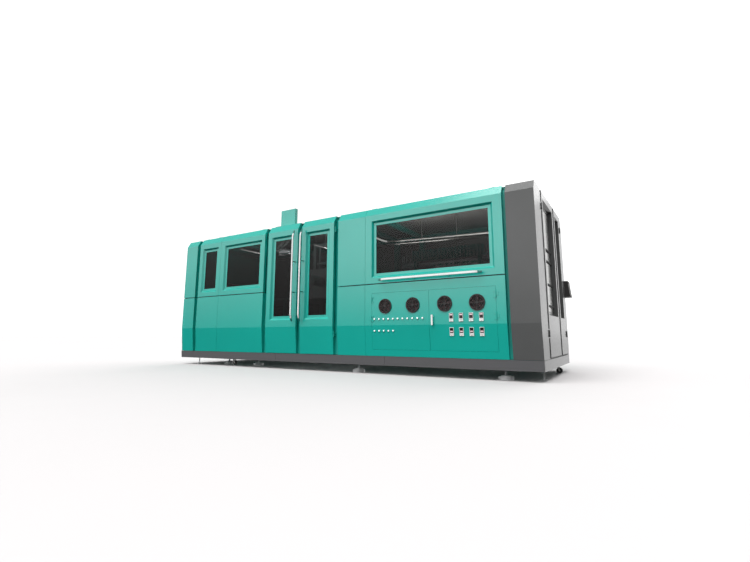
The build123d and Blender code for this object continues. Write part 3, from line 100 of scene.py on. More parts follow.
class Finish:
    """One procedural material, built round its Principled shader."""

    def __init__(self, name):
        self.material = bpy.data.materials.new(name)
        self.material.use_nodes = True
        self.tree = self.material.node_tree
        self.shader = self.tree.nodes["Principled BSDF"]
        self.place = self.tree.nodes.new("ShaderNodeTexCoord").outputs["Object"]

    def stretched(self, stretch):
        """The surface's own place, with its pattern drawn out along some axes."""
        mapping = self.tree.nodes.new("ShaderNodeMapping")
        mapping.inputs["Scale"].default_value = stretch
        self.tree.links.new(self.place, mapping.inputs["Vector"])
        return mapping.outputs["Vector"]

    def noise(self, scale, detail, stretch):
        """A number that wanders over the surface; scale is in waves per metre."""
        texture = self.tree.nodes.new("ShaderNodeTexNoise")
        texture.inputs["Scale"].default_value = scale
        texture.inputs["Detail"].default_value = detail
        self.tree.links.new(self.stretched(stretch), texture.inputs["Vector"])
        return texture.outputs["Fac"]

    def ramp(self, value, *stops):
        """Colours along a value; each stop is (position, colour)."""
        ramp = self.tree.nodes.new("ShaderNodeValToRGB")
        for element, (position, colour) in zip(ramp.color_ramp.elements, stops):
            element.position = position
            element.color = (*colour, 1)
        self.tree.links.new(value, ramp.inputs["Fac"])
        return ramp.outputs["Color"]

    def colour(self, base, spread, scale=1.3, stretch=(1, 1, 1)):
        """A base colour that drifts a little over the surface."""
        dark = tuple(c * (1 - spread) for c in base)
        light = tuple(min(1, c * (1 + spread)) for c in base)
        drift = self.ramp(self.noise(scale, 4, stretch), (0.35, dark), (0.65, light))
        self.tree.links.new(drift, self.shader.inputs["Base Color"])

    def roughness(self, low, high, scale=30.0, stretch=(1, 1, 1)):
        """A roughness that wanders between two values."""
        greys = self.ramp(self.noise(scale, 3, stretch), (0.3, (low,) * 3), (0.7, (high,) * 3))
        self.tree.links.new(greys, self.shader.inputs["Roughness"])

    def bump(self, scale, height, strength=0.3, stretch=(1, 1, 1)):
        """Fine relief; height is in metres."""
        bump = self.tree.nodes.new("ShaderNodeBump")
        bump.inputs["Strength"].default_value = strength
        bump.inputs["Distance"].default_value = height
        self.tree.links.new(self.noise(scale, 2, stretch), bump.inputs["Height"])
        self.tree.links.new(bump.outputs["Normal"], self.shader.inputs["Normal"])

    def step(self, output, letter, edge, soft, before, after):
        """A number that changes across an edge, by one axis of a texture coordinate."""
        source = self.tree.nodes.new("ShaderNodeTexCoord").outputs[output]
        axes = self.tree.nodes.new("ShaderNodeSeparateXYZ")
        self.tree.links.new(source, axes.inputs[0])
        node = self.tree.nodes.new("ShaderNodeMapRange")
        self.tree.links.new(axes.outputs[letter], node.inputs["Value"])
        numbers = {"From Min": edge - soft, "From Max": edge + soft, "To Min": before, "To Max": after}
        for name, number in numbers.items():
            node.inputs[name].default_value = number
        return node.outputs["Result"]

    def along(self, letter, edge, soft, before=0, after=1):
        """A share that changes where the surface's own place passes an edge."""
        return self.step("Object", letter, edge, soft, before, after)

    def facing(self, letter, edge, soft, before=0, after=1):
        """A share that changes with the way that the surface faces."""
        return self.step("Normal", letter, edge, soft, before, after)

    def join(self, operation, first, second):
        """Two shares made into one."""
        node = self.tree.nodes.new("ShaderNodeMath")
        node.operation = operation
        self.tree.links.new(first, node.inputs[0])
        self.tree.links.new(second, node.inputs[1])
        return node.outputs[0]

    def repaint(self, share, other):
        """Mix another colour into the base colour, by a share that varies over the surface."""
        base = self.shader.inputs["Base Color"]
        mix = self.tree.nodes.new("ShaderNodeMix")
        mix.data_type = "RGBA"
        self.tree.links.new(share, mix.inputs["Factor"])
        self.tree.links.new(base.links[0].from_socket, mix.inputs["A"])
        mix.inputs["B"].default_value = (*other, 1)
        self.tree.links.new(mix.outputs["Result"], base)

    def set(self, **values):
        """Constants on the shader's own sockets; an underscore stands for a space."""
        for name, value in values.items():
            self.shader.inputs[name.replace("_", " ")].default_value = value
        return self


def paint(name, base, spread=0.03, low=0.16, high=0.22, gloss=0.5):
    """Sprayed enamel: faint drift of colour, orange peel about a millimetre wide."""
    finish = Finish(name)
    finish.colour(base, spread)
    finish.roughness(low, high)
    finish.bump(scale=700, height=0.00003)
    return finish.set(Specular_IOR_Level=gloss)


def metal(name, base, low, high, stretch=(1, 1, 1)):
    """Bare metal; its machining marks can be drawn out along one axis."""
    finish = Finish(name)
    finish.colour(base, spread=0.08, scale=6, stretch=stretch)
    finish.roughness(low, high, scale=60, stretch=stretch)
    finish.bump(scale=300, height=0.00005, strength=0.4, stretch=stretch)
    return finish.set(Metallic=1.0)


def plastic(name, base, low, high, spread=0.06):
    """Moulded plastic with a fine grain."""
    finish = Finish(name)
    finish.colour(base, spread, scale=12)
    finish.roughness(low, high, scale=80)
    finish.bump(scale=1500, height=0.00004)
    return finish


def window_glass(name, tint, clear):
    """Smoked pane: part of the light goes straight through, the rest meets the tint and the gloss."""
    finish = Finish(name)
    finish.colour(tint, spread=0.12, scale=2)
    finish.roughness(0.03, 0.07, scale=9)
    return finish.set(Alpha=1 - clear, IOR=1.5, Specular_IOR_Level=0.1)


def glow(name, tint, strength):
    """Lit plastic lens."""
    finish = plastic(name, tint, 0.3, 0.4, spread=0.02)
    return finish.set(Emission_Color=(*tint, 1), Emission_Strength=strength)


teal = (0.006, 0.39, 0.322)
# painted shade for the backs and sides of the pull handles
handle_shade_teal = (0.006, 0.16, 0.135)
grey = (0.098, 0.1, 0.1)
skirt_grey = (0.12, 0.12, 0.125)
inner_grey = (0.17, 0.17, 0.16)
entry_grey = (0.36, 0.33, 0.32)
along_x = (0.03, 1, 1)

# One for each material slot of the part
materials = {
    "teal_paint": paint("teal enamel", teal, gloss=0.8),
    "grey_paint": paint("grey enamel", grey, 0.04, gloss=0.25),
    "hinge_paint": paint("hinge enamel", teal, gloss=0.8),
    "frame_paint": paint("frame paint", (0.008, 0.2, 0.165), 0.08, 0.45, 0.6),
    "white_paint": paint("white enamel", (0.86, 0.87, 0.87), 0.02, 0.25, 0.35),
    "tinted_glass": window_glass("smoked glass", (0.012, 0.011, 0.011), 0.42),
    "machined_steel": metal("machined steel", (0.55, 0.56, 0.57), 0.3, 0.45, along_x),
    "mould_aluminium": metal("mould aluminium", (0.72, 0.73, 0.74), 0.28, 0.42, along_x),
    "zinc_steel": metal("zinc plating", (0.62, 0.62, 0.6), 0.3, 0.45),
    "black_plastic": plastic("black plastic", (0.016, 0.014, 0.014), 0.45, 0.6),
    "rotor_plastic": plastic("rotor plastic", (0.085, 0.06, 0.06), 0.4, 0.5),
    "lamp_lens": plastic("lamp lens", (0.6, 0.72, 0.7), 0.15, 0.25),
    "controller_plastic": plastic("controller plastic", (0.86, 0.86, 0.85), 0.4, 0.5),
    "foot_metal": paint("foot enamel", (0.62, 0.63, 0.63), 0.05, 0.35, 0.5),
    "caster_rubber": plastic("caster rubber", (0.03, 0.03, 0.03), 0.6, 0.75),
    "bank_paint": paint("bank enamel", (0.01, 0.22, 0.19), 0.06, 0.4, 0.5),
    "chain_steel": metal("oiled steel", (0.4, 0.4, 0.41), 0.35, 0.5),
}

# For the pieces that this script adds
black_rubber = plastic("black rubber", (0.012, 0.012, 0.012), 0.6, 0.75)
black_mask = plastic("display mask", (0.02, 0.012, 0.014), 0.15, 0.25)
chrome = metal("chromed ring", (0.75, 0.76, 0.77), 0.12, 0.2)
clear_lens = glow("lamp dome", (0.9, 0.97, 0.95), 0.6)
reading_lens = glow("reading strip", (0.8, 0.6, 0.62), 0.2)
key_plastic = plastic("key cap", (0.16, 0.15, 0.15), 0.35, 0.45)
light_bar_lens = glow("light bar lens", (1, 0.99, 0.96), 1.6)
light_bar_body = metal("light bar body", (0.6, 0.6, 0.6), 0.3, 0.4)
beam_paint = paint("beam enamel", (0.42, 0.42, 0.39), 0.05, 0.3, 0.4)
silver_film = metal("silver window film", (0.42, 0.42, 0.41), 0.15, 0.25)
curtain_plastic = plastic("smoked curtain strip", (0.035, 0.045, 0.043), 0.2, 0.3)
air_hose = plastic("air hose", (0.7, 0.72, 0.72), 0.3, 0.4)
guard_wire = metal("guard wire", (0.32, 0.25, 0.25), 0.35, 0.45)
closing_paint = paint("closing strip enamel", (0.006, 0.3, 0.25), 0.03, 0.3, 0.4, 0.3)
rail_paint = paint("rail enamel", (0.03, 0.03, 0.03), 0.05, 0.5, 0.6, 0.05)


# Second colours, where one slot holds two

def paint_hinges():
    """Grey on the hinges of the grey section, and mostly grey on the flaps' hinge tabs at the roof."""
    grey_section = 2.64
    tab_height = roof_top - 0.02
    hinges = materials["hinge_paint"]
    hinges.repaint(hinges.along("X", grey_section, soft=0.01), grey)
    hinges.repaint(hinges.along("Z", tab_height, soft=0.01, after=0.8), grey)


def paint_handles():
    """Painted shade: dull teal on the parts behind the pull handles' bars and on the bars' sides; the latch,
    low at the right, stays white.
    """
    latch_top = 0.8
    latch_left = 1
    bar_back = -1.0815
    side_facing = -0.55
    handles = materials["white_paint"]
    above_latch = handles.along("Z", latch_top, soft=0.01)
    left_of_latch = handles.along("X", latch_left, soft=0.01, before=1, after=0)
    pull_handle = handles.join("MAXIMUM", above_latch, left_of_latch)
    # painted shade: the standoffs and bent ends behind each bar are darkened as if in its shadow
    back = handles.along("Y", bar_back, soft=0.002)
    handles.repaint(handles.join("MULTIPLY", pull_handle, back), handle_shade_teal)
    # painted shade: the bars' sides are darkened by the way that they face, as if turned from the light
    side = handles.facing("Y", side_facing, soft=0.3, after=0.6)
    handles.repaint(handles.join("MULTIPLY", pull_handle, side), handle_shade_teal)


def paint_skirt():
    """Lighter grey on the skirt, below the grey covers."""
    skirt_edge = skirt_top + cover_lift / 2
    sheets = materials["grey_paint"]
    sheets.repaint(sheets.along("Z", skirt_edge, soft=0.001, before=1, after=0), skirt_grey)


def paint_covers():
    """A pale cable entry beside the roof box, and grey inner faces of the rear covers and the roof."""
    entry_low = roof_top + 0.0015
    entry_end = panel_groove + 0.089
    entry_start = entry_end - 0.2
    rear_start = 0.7
    behind_front = -0.9
    half_turned = -0.5
    covers = materials["teal_paint"]
    above = covers.along("Z", entry_low, soft=0.0005)
    left = covers.along("X", entry_end, soft=0.001, before=1, after=0)
    near_box = covers.along("X", entry_start, soft=0.001)
    entry = covers.join("MULTIPLY", above, covers.join("MULTIPLY", left, near_box))
    covers.repaint(entry, entry_grey)
    rear = covers.join("MULTIPLY", covers.along("Y", rear_start, soft=0.01),
                       covers.facing("Y", half_turned, soft=0.1, before=1, after=0))
    roof = covers.join("MULTIPLY", covers.along("Y", behind_front, soft=0.005),
                       covers.facing("Z", half_turned, soft=0.1, before=1, after=0))
    covers.repaint(covers.join("MAXIMUM", rear, roof), inner_grey)


paint_hinges()
paint_handles()
paint_skirt()
paint_covers()
for node_name, node in nodes.items():
    for slot in node.material_slots:
        slot.material = materials[slots[node_name]].material


# Small pieces, built as meshes

def piece(name, chunks, finish, body, round_angle=35):
    """One piece from lists of corners and faces, riding on a body."""
    corners, faces = [], []
    for points, sides in chunks:
        faces += [[corner + len(corners) for corner in side] for side in sides]
        corners += [tuple(point) for point in points]
    mesh = bpy.data.meshes.new(name)
    mesh.from_pydata(corners, [], faces)
    work = bmesh.new()
    work.from_mesh(mesh)
    bmesh.ops.recalc_face_normals(work, faces=work.faces)
    work.to_mesh(mesh)
    work.free()
    mesh.shade_smooth()
    mesh.set_sharp_from_angle(angle=math.radians(round_angle))
    mesh.materials.append(finish.material)
    thing = bpy.data.objects.new(name, mesh)
    bpy.context.scene.collection.objects.link(thing)
    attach(thing, body)


def stacked(rings):
    """Skin over rings of equal count, closed at both ends."""
    count = len(rings[0])
    points = [point for ring in rings for point in ring]
    faces = []
    for level in range(len(rings) - 1):
        low = level * count
        for i in range(count):
            j = (i + 1) % count
            faces.append([low + i, low + j, low + count + j, low + count + i])
    faces.append(list(range(count)))
    faces.append(list(range(len(points) - count, len(points))))
    return points, faces


def turns(count):
    """Angles of equal steps round a circle."""
    return [2 * math.pi * i / count for i in range(count)]


def square_to(axis):
    """Two directions square to an axis and to each other."""
    across = axis.orthogonal().normalized()
    return across, axis.cross(across).normalized()


def circle(middle, across, over, radius, sides):
    """Corners round a middle, in the plane of two directions."""
    return [middle + (across * math.cos(turn) + over * math.sin(turn)) * radius for turn in turns(sides)]


def turned(centre, axis, profile, sides):
    """Round part from (radius, height) pairs along an axis."""
    across, over = square_to(axis)
    return stacked([circle(centre + axis * height, across, over, radius, sides)
                    for radius, height in profile])


def tube(path, radius, sides=8):
    """Round bar along a bent line."""
    steep = 0.9
    rings = []
    for i, point in enumerate(path):
        ahead = (path[min(i + 1, len(path) - 1)] - path[max(i - 1, 0)]).normalized()
        beside = z_axis if abs(ahead.z) < steep else y_axis
        across = ahead.cross(beside).normalized()
        rings.append(circle(point, across, across.cross(ahead), radius, sides))
    return stacked(rings)


def wire_ring(centre, axis, radius, wire, sides=40, wire_sides=6):
    """Closed ring of round wire; wire is its own radius."""
    across, over = square_to(axis)
    points, faces = [], []
    for i, turn in enumerate(turns(sides)):
        out = across * math.cos(turn) + over * math.sin(turn)
        here, ahead = i * wire_sides, (i + 1) % sides * wire_sides
        for k, twist in enumerate(turns(wire_sides)):
            points.append(centre + out * (radius + wire * math.cos(twist)) + axis * wire * math.sin(twist))
            beside = (k + 1) % wire_sides
            faces.append([here + k, here + beside, ahead + beside, ahead + k])
    return points, faces


def plate(centre, right, up, size):
    """Flat plate with cut corners and bevelled front edges; its back is at the centre."""
    width, height, thick, bevel = size
    corner_share = 0.12
    out = right.cross(up)
    rings = []
    for inset, lift in ((0, 0), (0, thick - bevel), (bevel, thick)):
        half_width, half_height = width / 2 - inset, height / 2 - inset
        corner = min(half_width, half_height) * corner_share
        outline = []
        for side, level in ((1, 1), (-1, 1), (-1, -1), (1, -1)):
            pair = ((half_width - corner, half_height), (half_width, half_height - corner))
            pair = pair[::-1] if side * level > 0 else pair
            outline += [centre + right * side * a + up * level * b + out * lift for a, b in pair]
        rings.append(outline)
    return stacked(rings)


def extruded(profile, start, end, across, over):
    """Bar with a section of (across, over) points."""
    return stacked([[place + across * a + over * b for a, b in profile] for place in (start, end)])


def on_face(x, z, proud):
    """A place on the front face and the way up there; below the crease the face leans back."""
    if z >= crease:
        return Vector((x, front_face - proud, z)), z_axis
    back = lean_depth * (crease - z) / (crease - skirt_top)
    lean_out = Vector((0, -math.cos(lean_angle), -math.sin(lean_angle)))
    lean_up = Vector((0, -math.sin(lean_angle), math.cos(lean_angle)))
    return Vector((x, front_face + back, z)) + lean_out * proud, lean_up


# Temperature controllers; a plate's size is its width, height, thickness and bevel
mask_size = (0.041, 0.058, 0.0012, 0.0006)
mask_rise = 0.015
reading_size = (0.033, 0.0135, 0.0008, 0.0003)
reading_rises = (0.0285, 0.003)
reading_proud = 0.0011
key_profile = ((0.003, 0), (0.003, 0.001), (0.0022, 0.0016))
key_places = (-0.0145, -0.005, 0.005, 0.0145)
key_drop = 0.0275
tab_size = (0.012, 0.004, 0.001, 0.0003)
tab_drop = 0.0435


def controllers():
    """Display mask, reading strip, keys and low tab on each temperature controller."""
    masks, readings, keys = [], [], []
    for z, reading_rise in zip(meter_rows, reading_rises):
        for i in range(meter_columns):
            place, up = on_face(meter_first + meter_pitch * i, z, fitting_proud)
            out = x_axis.cross(up)
            masks.append(plate(place + up * mask_rise, x_axis, up, mask_size))
            reading_place = place + up * reading_rise + out * reading_proud
            readings.append(plate(reading_place, x_axis, up, reading_size))
            for side in key_places:
                keys.append(turned(place - up * key_drop + x_axis * side, out, key_profile, sides=10))
            keys.append(plate(place - up * tab_drop, x_axis, up, tab_size))
    piece("controller_masks", masks, black_mask, "cabinet_right")
    piece("controller_readings", readings, reading_lens, "cabinet_right")
    piece("controller_keys", keys, key_plastic, "cabinet_right")


# Indicator lamps
lamp_ring_radius = 0.0105
lamp_ring_wire = 0.0014
dome_profile = ((0.0092, 0), (0.0088, 0.0018), (0.0068, 0.0036), (0.0035, 0.0046), (0.001, 0.005))


def lamps():
    """Chromed ring and domed lens on each indicator lamp."""
    rings, domes = [], []
    for z, count in zip(lamp_rows, lamp_counts):
        for i in range(count):
            place, up = on_face(lamp_first + lamp_pitch * i, z, fitting_proud)
            out = x_axis.cross(up)
            rings.append(wire_ring(place, out, lamp_ring_radius, lamp_ring_wire, sides=20))
            domes.append(turned(place, out, dome_profile, sides=16))
    piece("lamp_rings", rings, chrome, "cabinet_left")
    piece("lamp_domes", domes, clear_lens, "cabinet_left", round_angle=60)


# Fan guards
guard_radii = (0.072, 0.052, 0.033)
guard_wire_radius = 0.0009
guard_wire_depth = 0.0015


def fan_guards():
    """Fine wire rings between the guard's own rings."""
    wire_y = front_face - fan_proud + guard_wire_depth
    for body, (start, end) in (("cabinet_left", cabinet_left), ("cabinet_right", cabinet_right)):
        middles = [Vector((start + share * (end - start), wire_y, fan_height)) for share in fan_shares]
        rings = [wire_ring(middle, y_axis, radius, guard_wire_radius)
                 for middle in middles for radius in guard_radii]
        piece("fan_wires_" + body, rings, guard_wire, body)


# Seals of the level seam, in stretches that stop short of the grooves and the oven's seam
seal_profile = ((-0.006, 0), (-0.005, 0.0035), (-0.0015, 0.0056), (0.003, 0.0057), (0.0065, 0.0035),
                (0.0065, -0.0035), (0.003, -0.0057), (-0.0015, -0.0056), (-0.005, -0.0035))
seal_stretches = ((left_end + 0.0085, corner_groove - 0.0425),
                  (corner_groove + 0.0415, panel_groove - 0.0425),
                  (fixed_groove + 0.0425, oven_seam - 0.0045),
                  (oven_seam + 0.0055, grey_joint - 0.0235))
seal_y = front_face + 0.024
seal_z = seam_height - 0.0001


def seam_gaskets():
    """Rubber bulb seals in the level seam between lower and upper covers."""
    ends = [[Vector((x, seal_y, seal_z)) for x in stretch] for stretch in seal_stretches]
    seals = [extruded(seal_profile, start, end, y_axis, z_axis) for start, end in ends]
    piece("seam_gaskets", seals, black_rubber, "housing")


# End doors: each leaf from edge to edge, and its glass
end_doors = {
    "end_door_front": ((-0.607, 0.221), (-0.466, 0.0797)),
    "end_door_rear": ((0.2347, 0.731), (0.3757, 0.591)),
}
door_foot = skirt_top + 0.009
door_head = roof_top - 0.007
hinge_room = 0.05
foot_strip_gap = 0.004
edge_strip = ((-0.003, 0), (-0.003, 0.0045), (-0.0015, 0.006), (0.0015, 0.006), (0.003, 0.0045), (0.003, 0))
end_glass_depth = 0.045
film_gap = 0.0001
film_x = right_end - end_glass_depth + film_gap
film_z = 1.384
film_height = 1.262
film_margin = 0.0015
film_thickness = 0.0006
film_bevel = 0.0002
rail_section = ((-0.013, 0), (-0.013, 0.008), (-0.009, 0.012), (0.009, 0.012), (0.013, 0.008), (0.013, 0))
rail_heights = (1.508, 1.367, 1.084, 0.826)
rail_margin = 0.001
rail_proud = 0.0004


def edge_trims(body, leaf):
    """Rubber strips up a leaf's near edge and along its foot; the front leaf's spare the hinges there."""
    near, far = leaf
    low_hinge, high_hinge = hinge_heights
    uprights = [(door_foot, door_head)]
    if body == "end_door_front":
        uprights = [(door_foot, low_hinge - hinge_room), (low_hinge + hinge_room, high_hinge - hinge_room),
                    (high_hinge + hinge_room, door_head)]
    strips = []
    for low, high in uprights:
        foot, head = Vector((right_end, near, low)), Vector((right_end, near, high))
        strips.append(extruded(edge_strip, foot, head, y_axis, x_axis))
    start, end = Vector((right_end, near + foot_strip_gap, door_foot)), Vector((right_end, far, door_foot))
    strips.append(extruded(edge_strip, start, end, z_axis, x_axis))
    piece(body + "_trims", strips, black_rubber, body)


def window_film(body, glass):
    """Pale film over a leaf's glass."""
    near, far = glass
    middle = Vector((film_x, (near + far) / 2, film_z))
    size = (far - near - 2 * film_margin, film_height, film_thickness, film_bevel)
    piece(body + "_film", [plate(middle, y_axis, z_axis, size)], silver_film, body)


def glazing_rails(body, glass):
    """Level rails across a leaf's glass."""
    near, far = glass
    x = film_x + rail_proud
    rails = []
    for z in rail_heights:
        start, end = Vector((x, near + rail_margin, z)), Vector((x, far - rail_margin, z))
        rails.append(extruded(rail_section, start, end, z_axis, x_axis))
    piece(body + "_rails", rails, rail_paint, body)


def end_door_trims():
    """What both end doors carry."""
    for body, (leaf, glass) in end_doors.items():
        edge_trims(body, leaf)
        window_film(body, glass)
        glazing_rails(body, glass)


# Closing strips behind the upright grooves: each joint, and how far its strip runs to the right of it
groove_reaches = ((corner_groove, 0.036), (panel_groove, 0.036), (door_groove, 0.036), (fixed_groove, 0.036),
                  (grey_joint, 0.017))
groove_left = -0.1
groove_strip_sides = -0.004
groove_strip_front = -0.006
groove_strip_cut = 0.004
groove_strip_gap = 0.0005
groove_strip_z = (skirt_top + 0.005, roof_top - 0.051)


def groove_strips():
    """Closing strips between the front panels, close before the frame's posts."""
    y = post_face - groove_strip_gap
    low, high = groove_strip_z
    strips = []
    for joint, right in groove_reaches:
        outline = ((groove_left, 0), (groove_left, groove_strip_sides),
                   (groove_left + groove_strip_cut, groove_strip_front),
                   (right - groove_strip_cut, groove_strip_front), (right, groove_strip_sides), (right, 0))
        strips.append(extruded(outline, Vector((joint, y, low)), Vector((joint, y, high)), x_axis, y_axis))
    piece("groove_strips", strips, closing_paint, "housing")


# Light bars under the roof: x, z and the far end's y
light_bar_places = ((-1.7305, 1.91, -0.45), (-0.1505, 1.808, -0.601))
bar_start = -0.9
bar_channel = ((-0.011, 0.009), (-0.011, -0.004), (-0.008, -0.008), (0.008, -0.008), (0.011, -0.004),
               (0.011, 0.009))
bar_lens = ((-0.0075, -0.0078), (-0.0045, -0.0115), (0, -0.0125), (0.0045, -0.0115), (0.0075, -0.0078))
bar_lens_margin = 0.006
bar_hanger_margin = 0.04
bar_hanger_radius = 0.004
bar_hanger_seat = 0.008


def light_bars():
    """Light bars on hangers from the roof, each with its lens below."""
    bodies, lenses = [], []
    for x, z, far in light_bar_places:
        start, end = Vector((x, bar_start, z)), Vector((x, far, z))
        inset = y_axis * bar_lens_margin
        bodies.append(extruded(bar_channel, start, end, x_axis, z_axis))
        lenses.append(extruded(bar_lens, start + inset, end - inset, x_axis, z_axis))
        for y in (bar_start + bar_hanger_margin, far - bar_hanger_margin):
            heights = (z + bar_hanger_seat, (z + roof_top - sheet) / 2, hanger_top)
            bodies.append(tube([Vector((x, y, height)) for height in heights], bar_hanger_radius))
    piece("light_bar_bodies", bodies, light_bar_body, "housing")
    piece("light_bar_lenses", lenses, light_bar_lens, "housing")


# Beam over the oven: its bent end, then the beam, as (x, z) points at one depth
beam_y = -0.5
bend_points = ((0.56, 1.945), (0.62, 1.91), (0.69, 1.872), (0.76, 1.838), (0.82, 1.815), (0.86, 1.806))
beam_points = ((0.86, 1.806), (0.9, 1.8015), (1.4, 1.783), (1.9, 1.7645), (2.52, 1.7415))
beam_radius = 0.011
beam_rod_drop = 0.045
beam_rod_radius = 0.005
beam_hanger_bend = 0.2
beam_hung_points = (2, 3)


def oven_beam():
    """Bent light tube, beam, thin rod below it and two hangers over the oven."""
    bend = [Vector((x, beam_y, z)) for x, z in bend_points]
    beam = [Vector((x, beam_y, z)) for x, z in beam_points]
    rod = [point - z_axis * beam_rod_drop for point in beam]
    chunks = [tube(beam, beam_radius, sides=12), tube(rod, beam_rod_radius)]
    for number in beam_hung_points:
        place = beam[number]
        hanger = [place, place + z_axis * beam_hanger_bend, Vector((place.x, beam_y, hanger_top))]
        chunks.append(tube(hanger, beam_rod_radius))
    piece("oven_bend", [tube(bend, beam_radius, sides=12)], light_bar_lens, "housing")
    piece("oven_beam", chunks, beam_paint, "housing", round_angle=60)


# Strip curtain in the bottle outfeed
curtain_x = left_end + 0.0325
curtain_count = 9
curtain_size = (0.058, 0.402, 0.0022, 0.0006)
curtain_pitch = 0.0557
curtain_stagger = 0.004
curtain_first = -0.292
curtain_middle = 1.287
curtain_rail = ((-0.007, 0), (-0.007, -0.014), (-0.003, -0.017), (0.008, -0.017), (0.012, -0.014),
                (0.012, 0))
curtain_rail_y = (-0.318, 0.18)
curtain_rail_z = 1.4995


def outfeed_curtain():
    """Strip curtain hung in the bottle outfeed at the left end; every second strip hangs further in."""
    strips = []
    for i in range(curtain_count):
        x = curtain_x + curtain_stagger * (i % 2)
        middle = Vector((x, curtain_first + curtain_pitch * i, curtain_middle))
        strips.append(plate(middle, y_axis, z_axis, curtain_size))
    start, end = (Vector((curtain_x, y, curtain_rail_z)) for y in curtain_rail_y)
    rail = extruded(curtain_rail, start, end, x_axis, z_axis)
    piece("outfeed_curtain", strips, curtain_plastic, "housing")
    piece("outfeed_curtain_rail", [rail], light_bar_body, "housing")


# Air valve block beside the clamp, with a row of fittings and a hose from each
valve_centre = Vector((-1.17, -0.43, 1.87))
valve_size = (0.26, 0.07, 0.05, 0.004)
valve_back = 0.02
valve_front = valve_back - valve_size[2]
valve_count = 6
valve_pitch = 0.04
valve_first = -0.1
fitting_rise = 0.012
fitting_profile = ((0.012, 0), (0.012, 0.012), (0.008, 0.014), (0.008, 0.026), (0.0095, 0.028),
                   (0.0095, 0.036), (0.006, 0.038))
hose_start = 0.034
hose_radius = 0.004
hose_lift = 0.05
hose_lift_step = 0.012
hose_lift_count = 3
hose_end_back = 0.05
valve_hanger_places = (-0.11, 0.11)
valve_hanger_back = 0.01
valve_hanger_foot = 0.03
valve_hanger_bend = 2.0
valve_hanger_radius = 0.006


def hose(start, lift):
    """Bent air hose from a fitting, forward and up, then back and up to the roof."""
    path = [start,
            start + Vector((0, -0.03, 0.002)),
            start + Vector((0.004, -0.055, lift * 0.35)),
            start + Vector((0.008, -0.05, lift)),
            start + Vector((0.01, 0.01, lift + 0.07)),
            Vector((start.x + 0.01, valve_centre.y + hose_end_back, hanger_top))]
    return tube(path, hose_radius)


def valve_island():
    """Air valve block on two hangers, with fittings and bent hoses."""
    fittings, hoses = [], []
    for i in range(valve_count):
        front = valve_centre + Vector((valve_first + valve_pitch * i, valve_front, fitting_rise))
        fittings.append(turned(front, -y_axis, fitting_profile, sides=12))
        lift = hose_lift + hose_lift_step * (i % hose_lift_count)
        hoses.append(hose(front - y_axis * hose_start, lift))
    blocks = [plate(valve_centre + y_axis * valve_back, x_axis, z_axis, valve_size)]
    for side in valve_hanger_places:
        x, y = valve_centre.x + side, valve_centre.y + valve_hanger_back
        heights = (valve_centre.z + valve_hanger_foot, valve_hanger_bend, hanger_top)
        blocks.append(tube([Vector((x, y, height)) for height in heights], valve_hanger_radius))
    piece("valve_block", blocks, materials["mould_aluminium"], "housing")
    piece("valve_fittings", fittings, chrome, "housing")
    piece("valve_hoses", hoses, air_hose, "housing", round_angle=60)


controllers()
lamps()
fan_guards()
seam_gaskets()
end_door_trims()
groove_strips()
light_bars()
oven_beam()
outfeed_curtain()
valve_island()


# Lights

def add_light(name, kind, power):
    """A light that adds no mirror spots, and the object that holds it."""
    light = bpy.data.lights.new(name, kind)
    light.energy = power
    light.specular_factor = 0
    lamp = bpy.data.objects.new(name, light)
    bpy.context.scene.collection.objects.link(lamp)
    return light, lamp


# Lights inside the housing: place, length and power in watts
room_lights = (((1.7, -0.35, 1.72), 1.4, 22), ((-0.1, -0.45, 1.78), 0.9, 8), ((-1.9, -0.4, 1.8), 1.1, 4),
               ((-1.0, -0.72, 1.7), 0.3, 3))
room_light_depth = 0.4


def light_inside():
    """Flat lights that face up, so that the roof's underside lights the inside softly."""
    for number, (place, length, power) in enumerate(room_lights):
        light, lamp = add_light(f"room_{number}", "AREA", power)
        light.shape = "RECTANGLE"
        light.size, light.size_y = length, room_light_depth
        lamp.location = place
        lamp.rotation_euler = (math.pi, 0, 0)
        lamp.visible_camera = False


# Soft lights from above, one before and one behind the machine: way, strength and width in degrees
suns = ((Vector((0, -0.5, 0.86)), 2.9, 50), (Vector((0.1, 0.6, 0.78)), 1.3, 70))


def soft_suns():
    """Large soft lights from above."""
    for number, (way, strength, width) in enumerate(suns):
        light, lamp = add_light(f"soft_sun_{number}", "SUN", strength)
        light.angle = math.radians(width)
        lamp.rotation_euler = way.to_track_quat("Z", "Y").to_euler()


# Floor
floor_size = 4000
floor_colour = (0.59, 0.574, 0.576)


def floor():
    """Pale matt ground that throws no light back on the machine."""
    bpy.ops.mesh.primitive_plane_add(size=floor_size, location=(0, 0, 0))
    plane = bpy.context.object
    plane.name = "studio_floor"
    plane.visible_diffuse = False
    plane.visible_glossy = False
    finish = Finish("studio floor")
    finish.colour(floor_colour, spread=0.01, scale=0.2)
    finish.roughness(0.85, 0.95, scale=3)
    finish.set(Specular_IOR_Level=0.2)
    plane.data.materials.append(finish.material)


# The dome of light: a dim base, a bright part before the machine that fades out towards its sides,
# the horizon and the top, and a part behind the machine that its right end mirrors.
# A reach runs from where a part starts to where it is full: 0 lies square to its way, 1 straight at it.
base_above = 0.45
base_below = 0.04
horizon_soft = 0.02
right_way = Vector((0.95, -0.3, 0))
right_reach = (0.1, 0.7)
right_dim = 0.12
front_way = Vector((-0.45, -0.89, 0))
front_reach = (0.1, 0.65)
front_light = 2.2
front_rise = 0.2
front_fade = (0.28, 0.58)
front_top = 0.15
left_way = Vector((-1, 0, 0))
left_reach = (0.45, 0.85)
left_dim = 0.45
back_way = Vector((0.15, 0.99, 0)).normalized()
back_reach = (0.45, 0.9)
back_light = 1.0
seen_light = 1.2


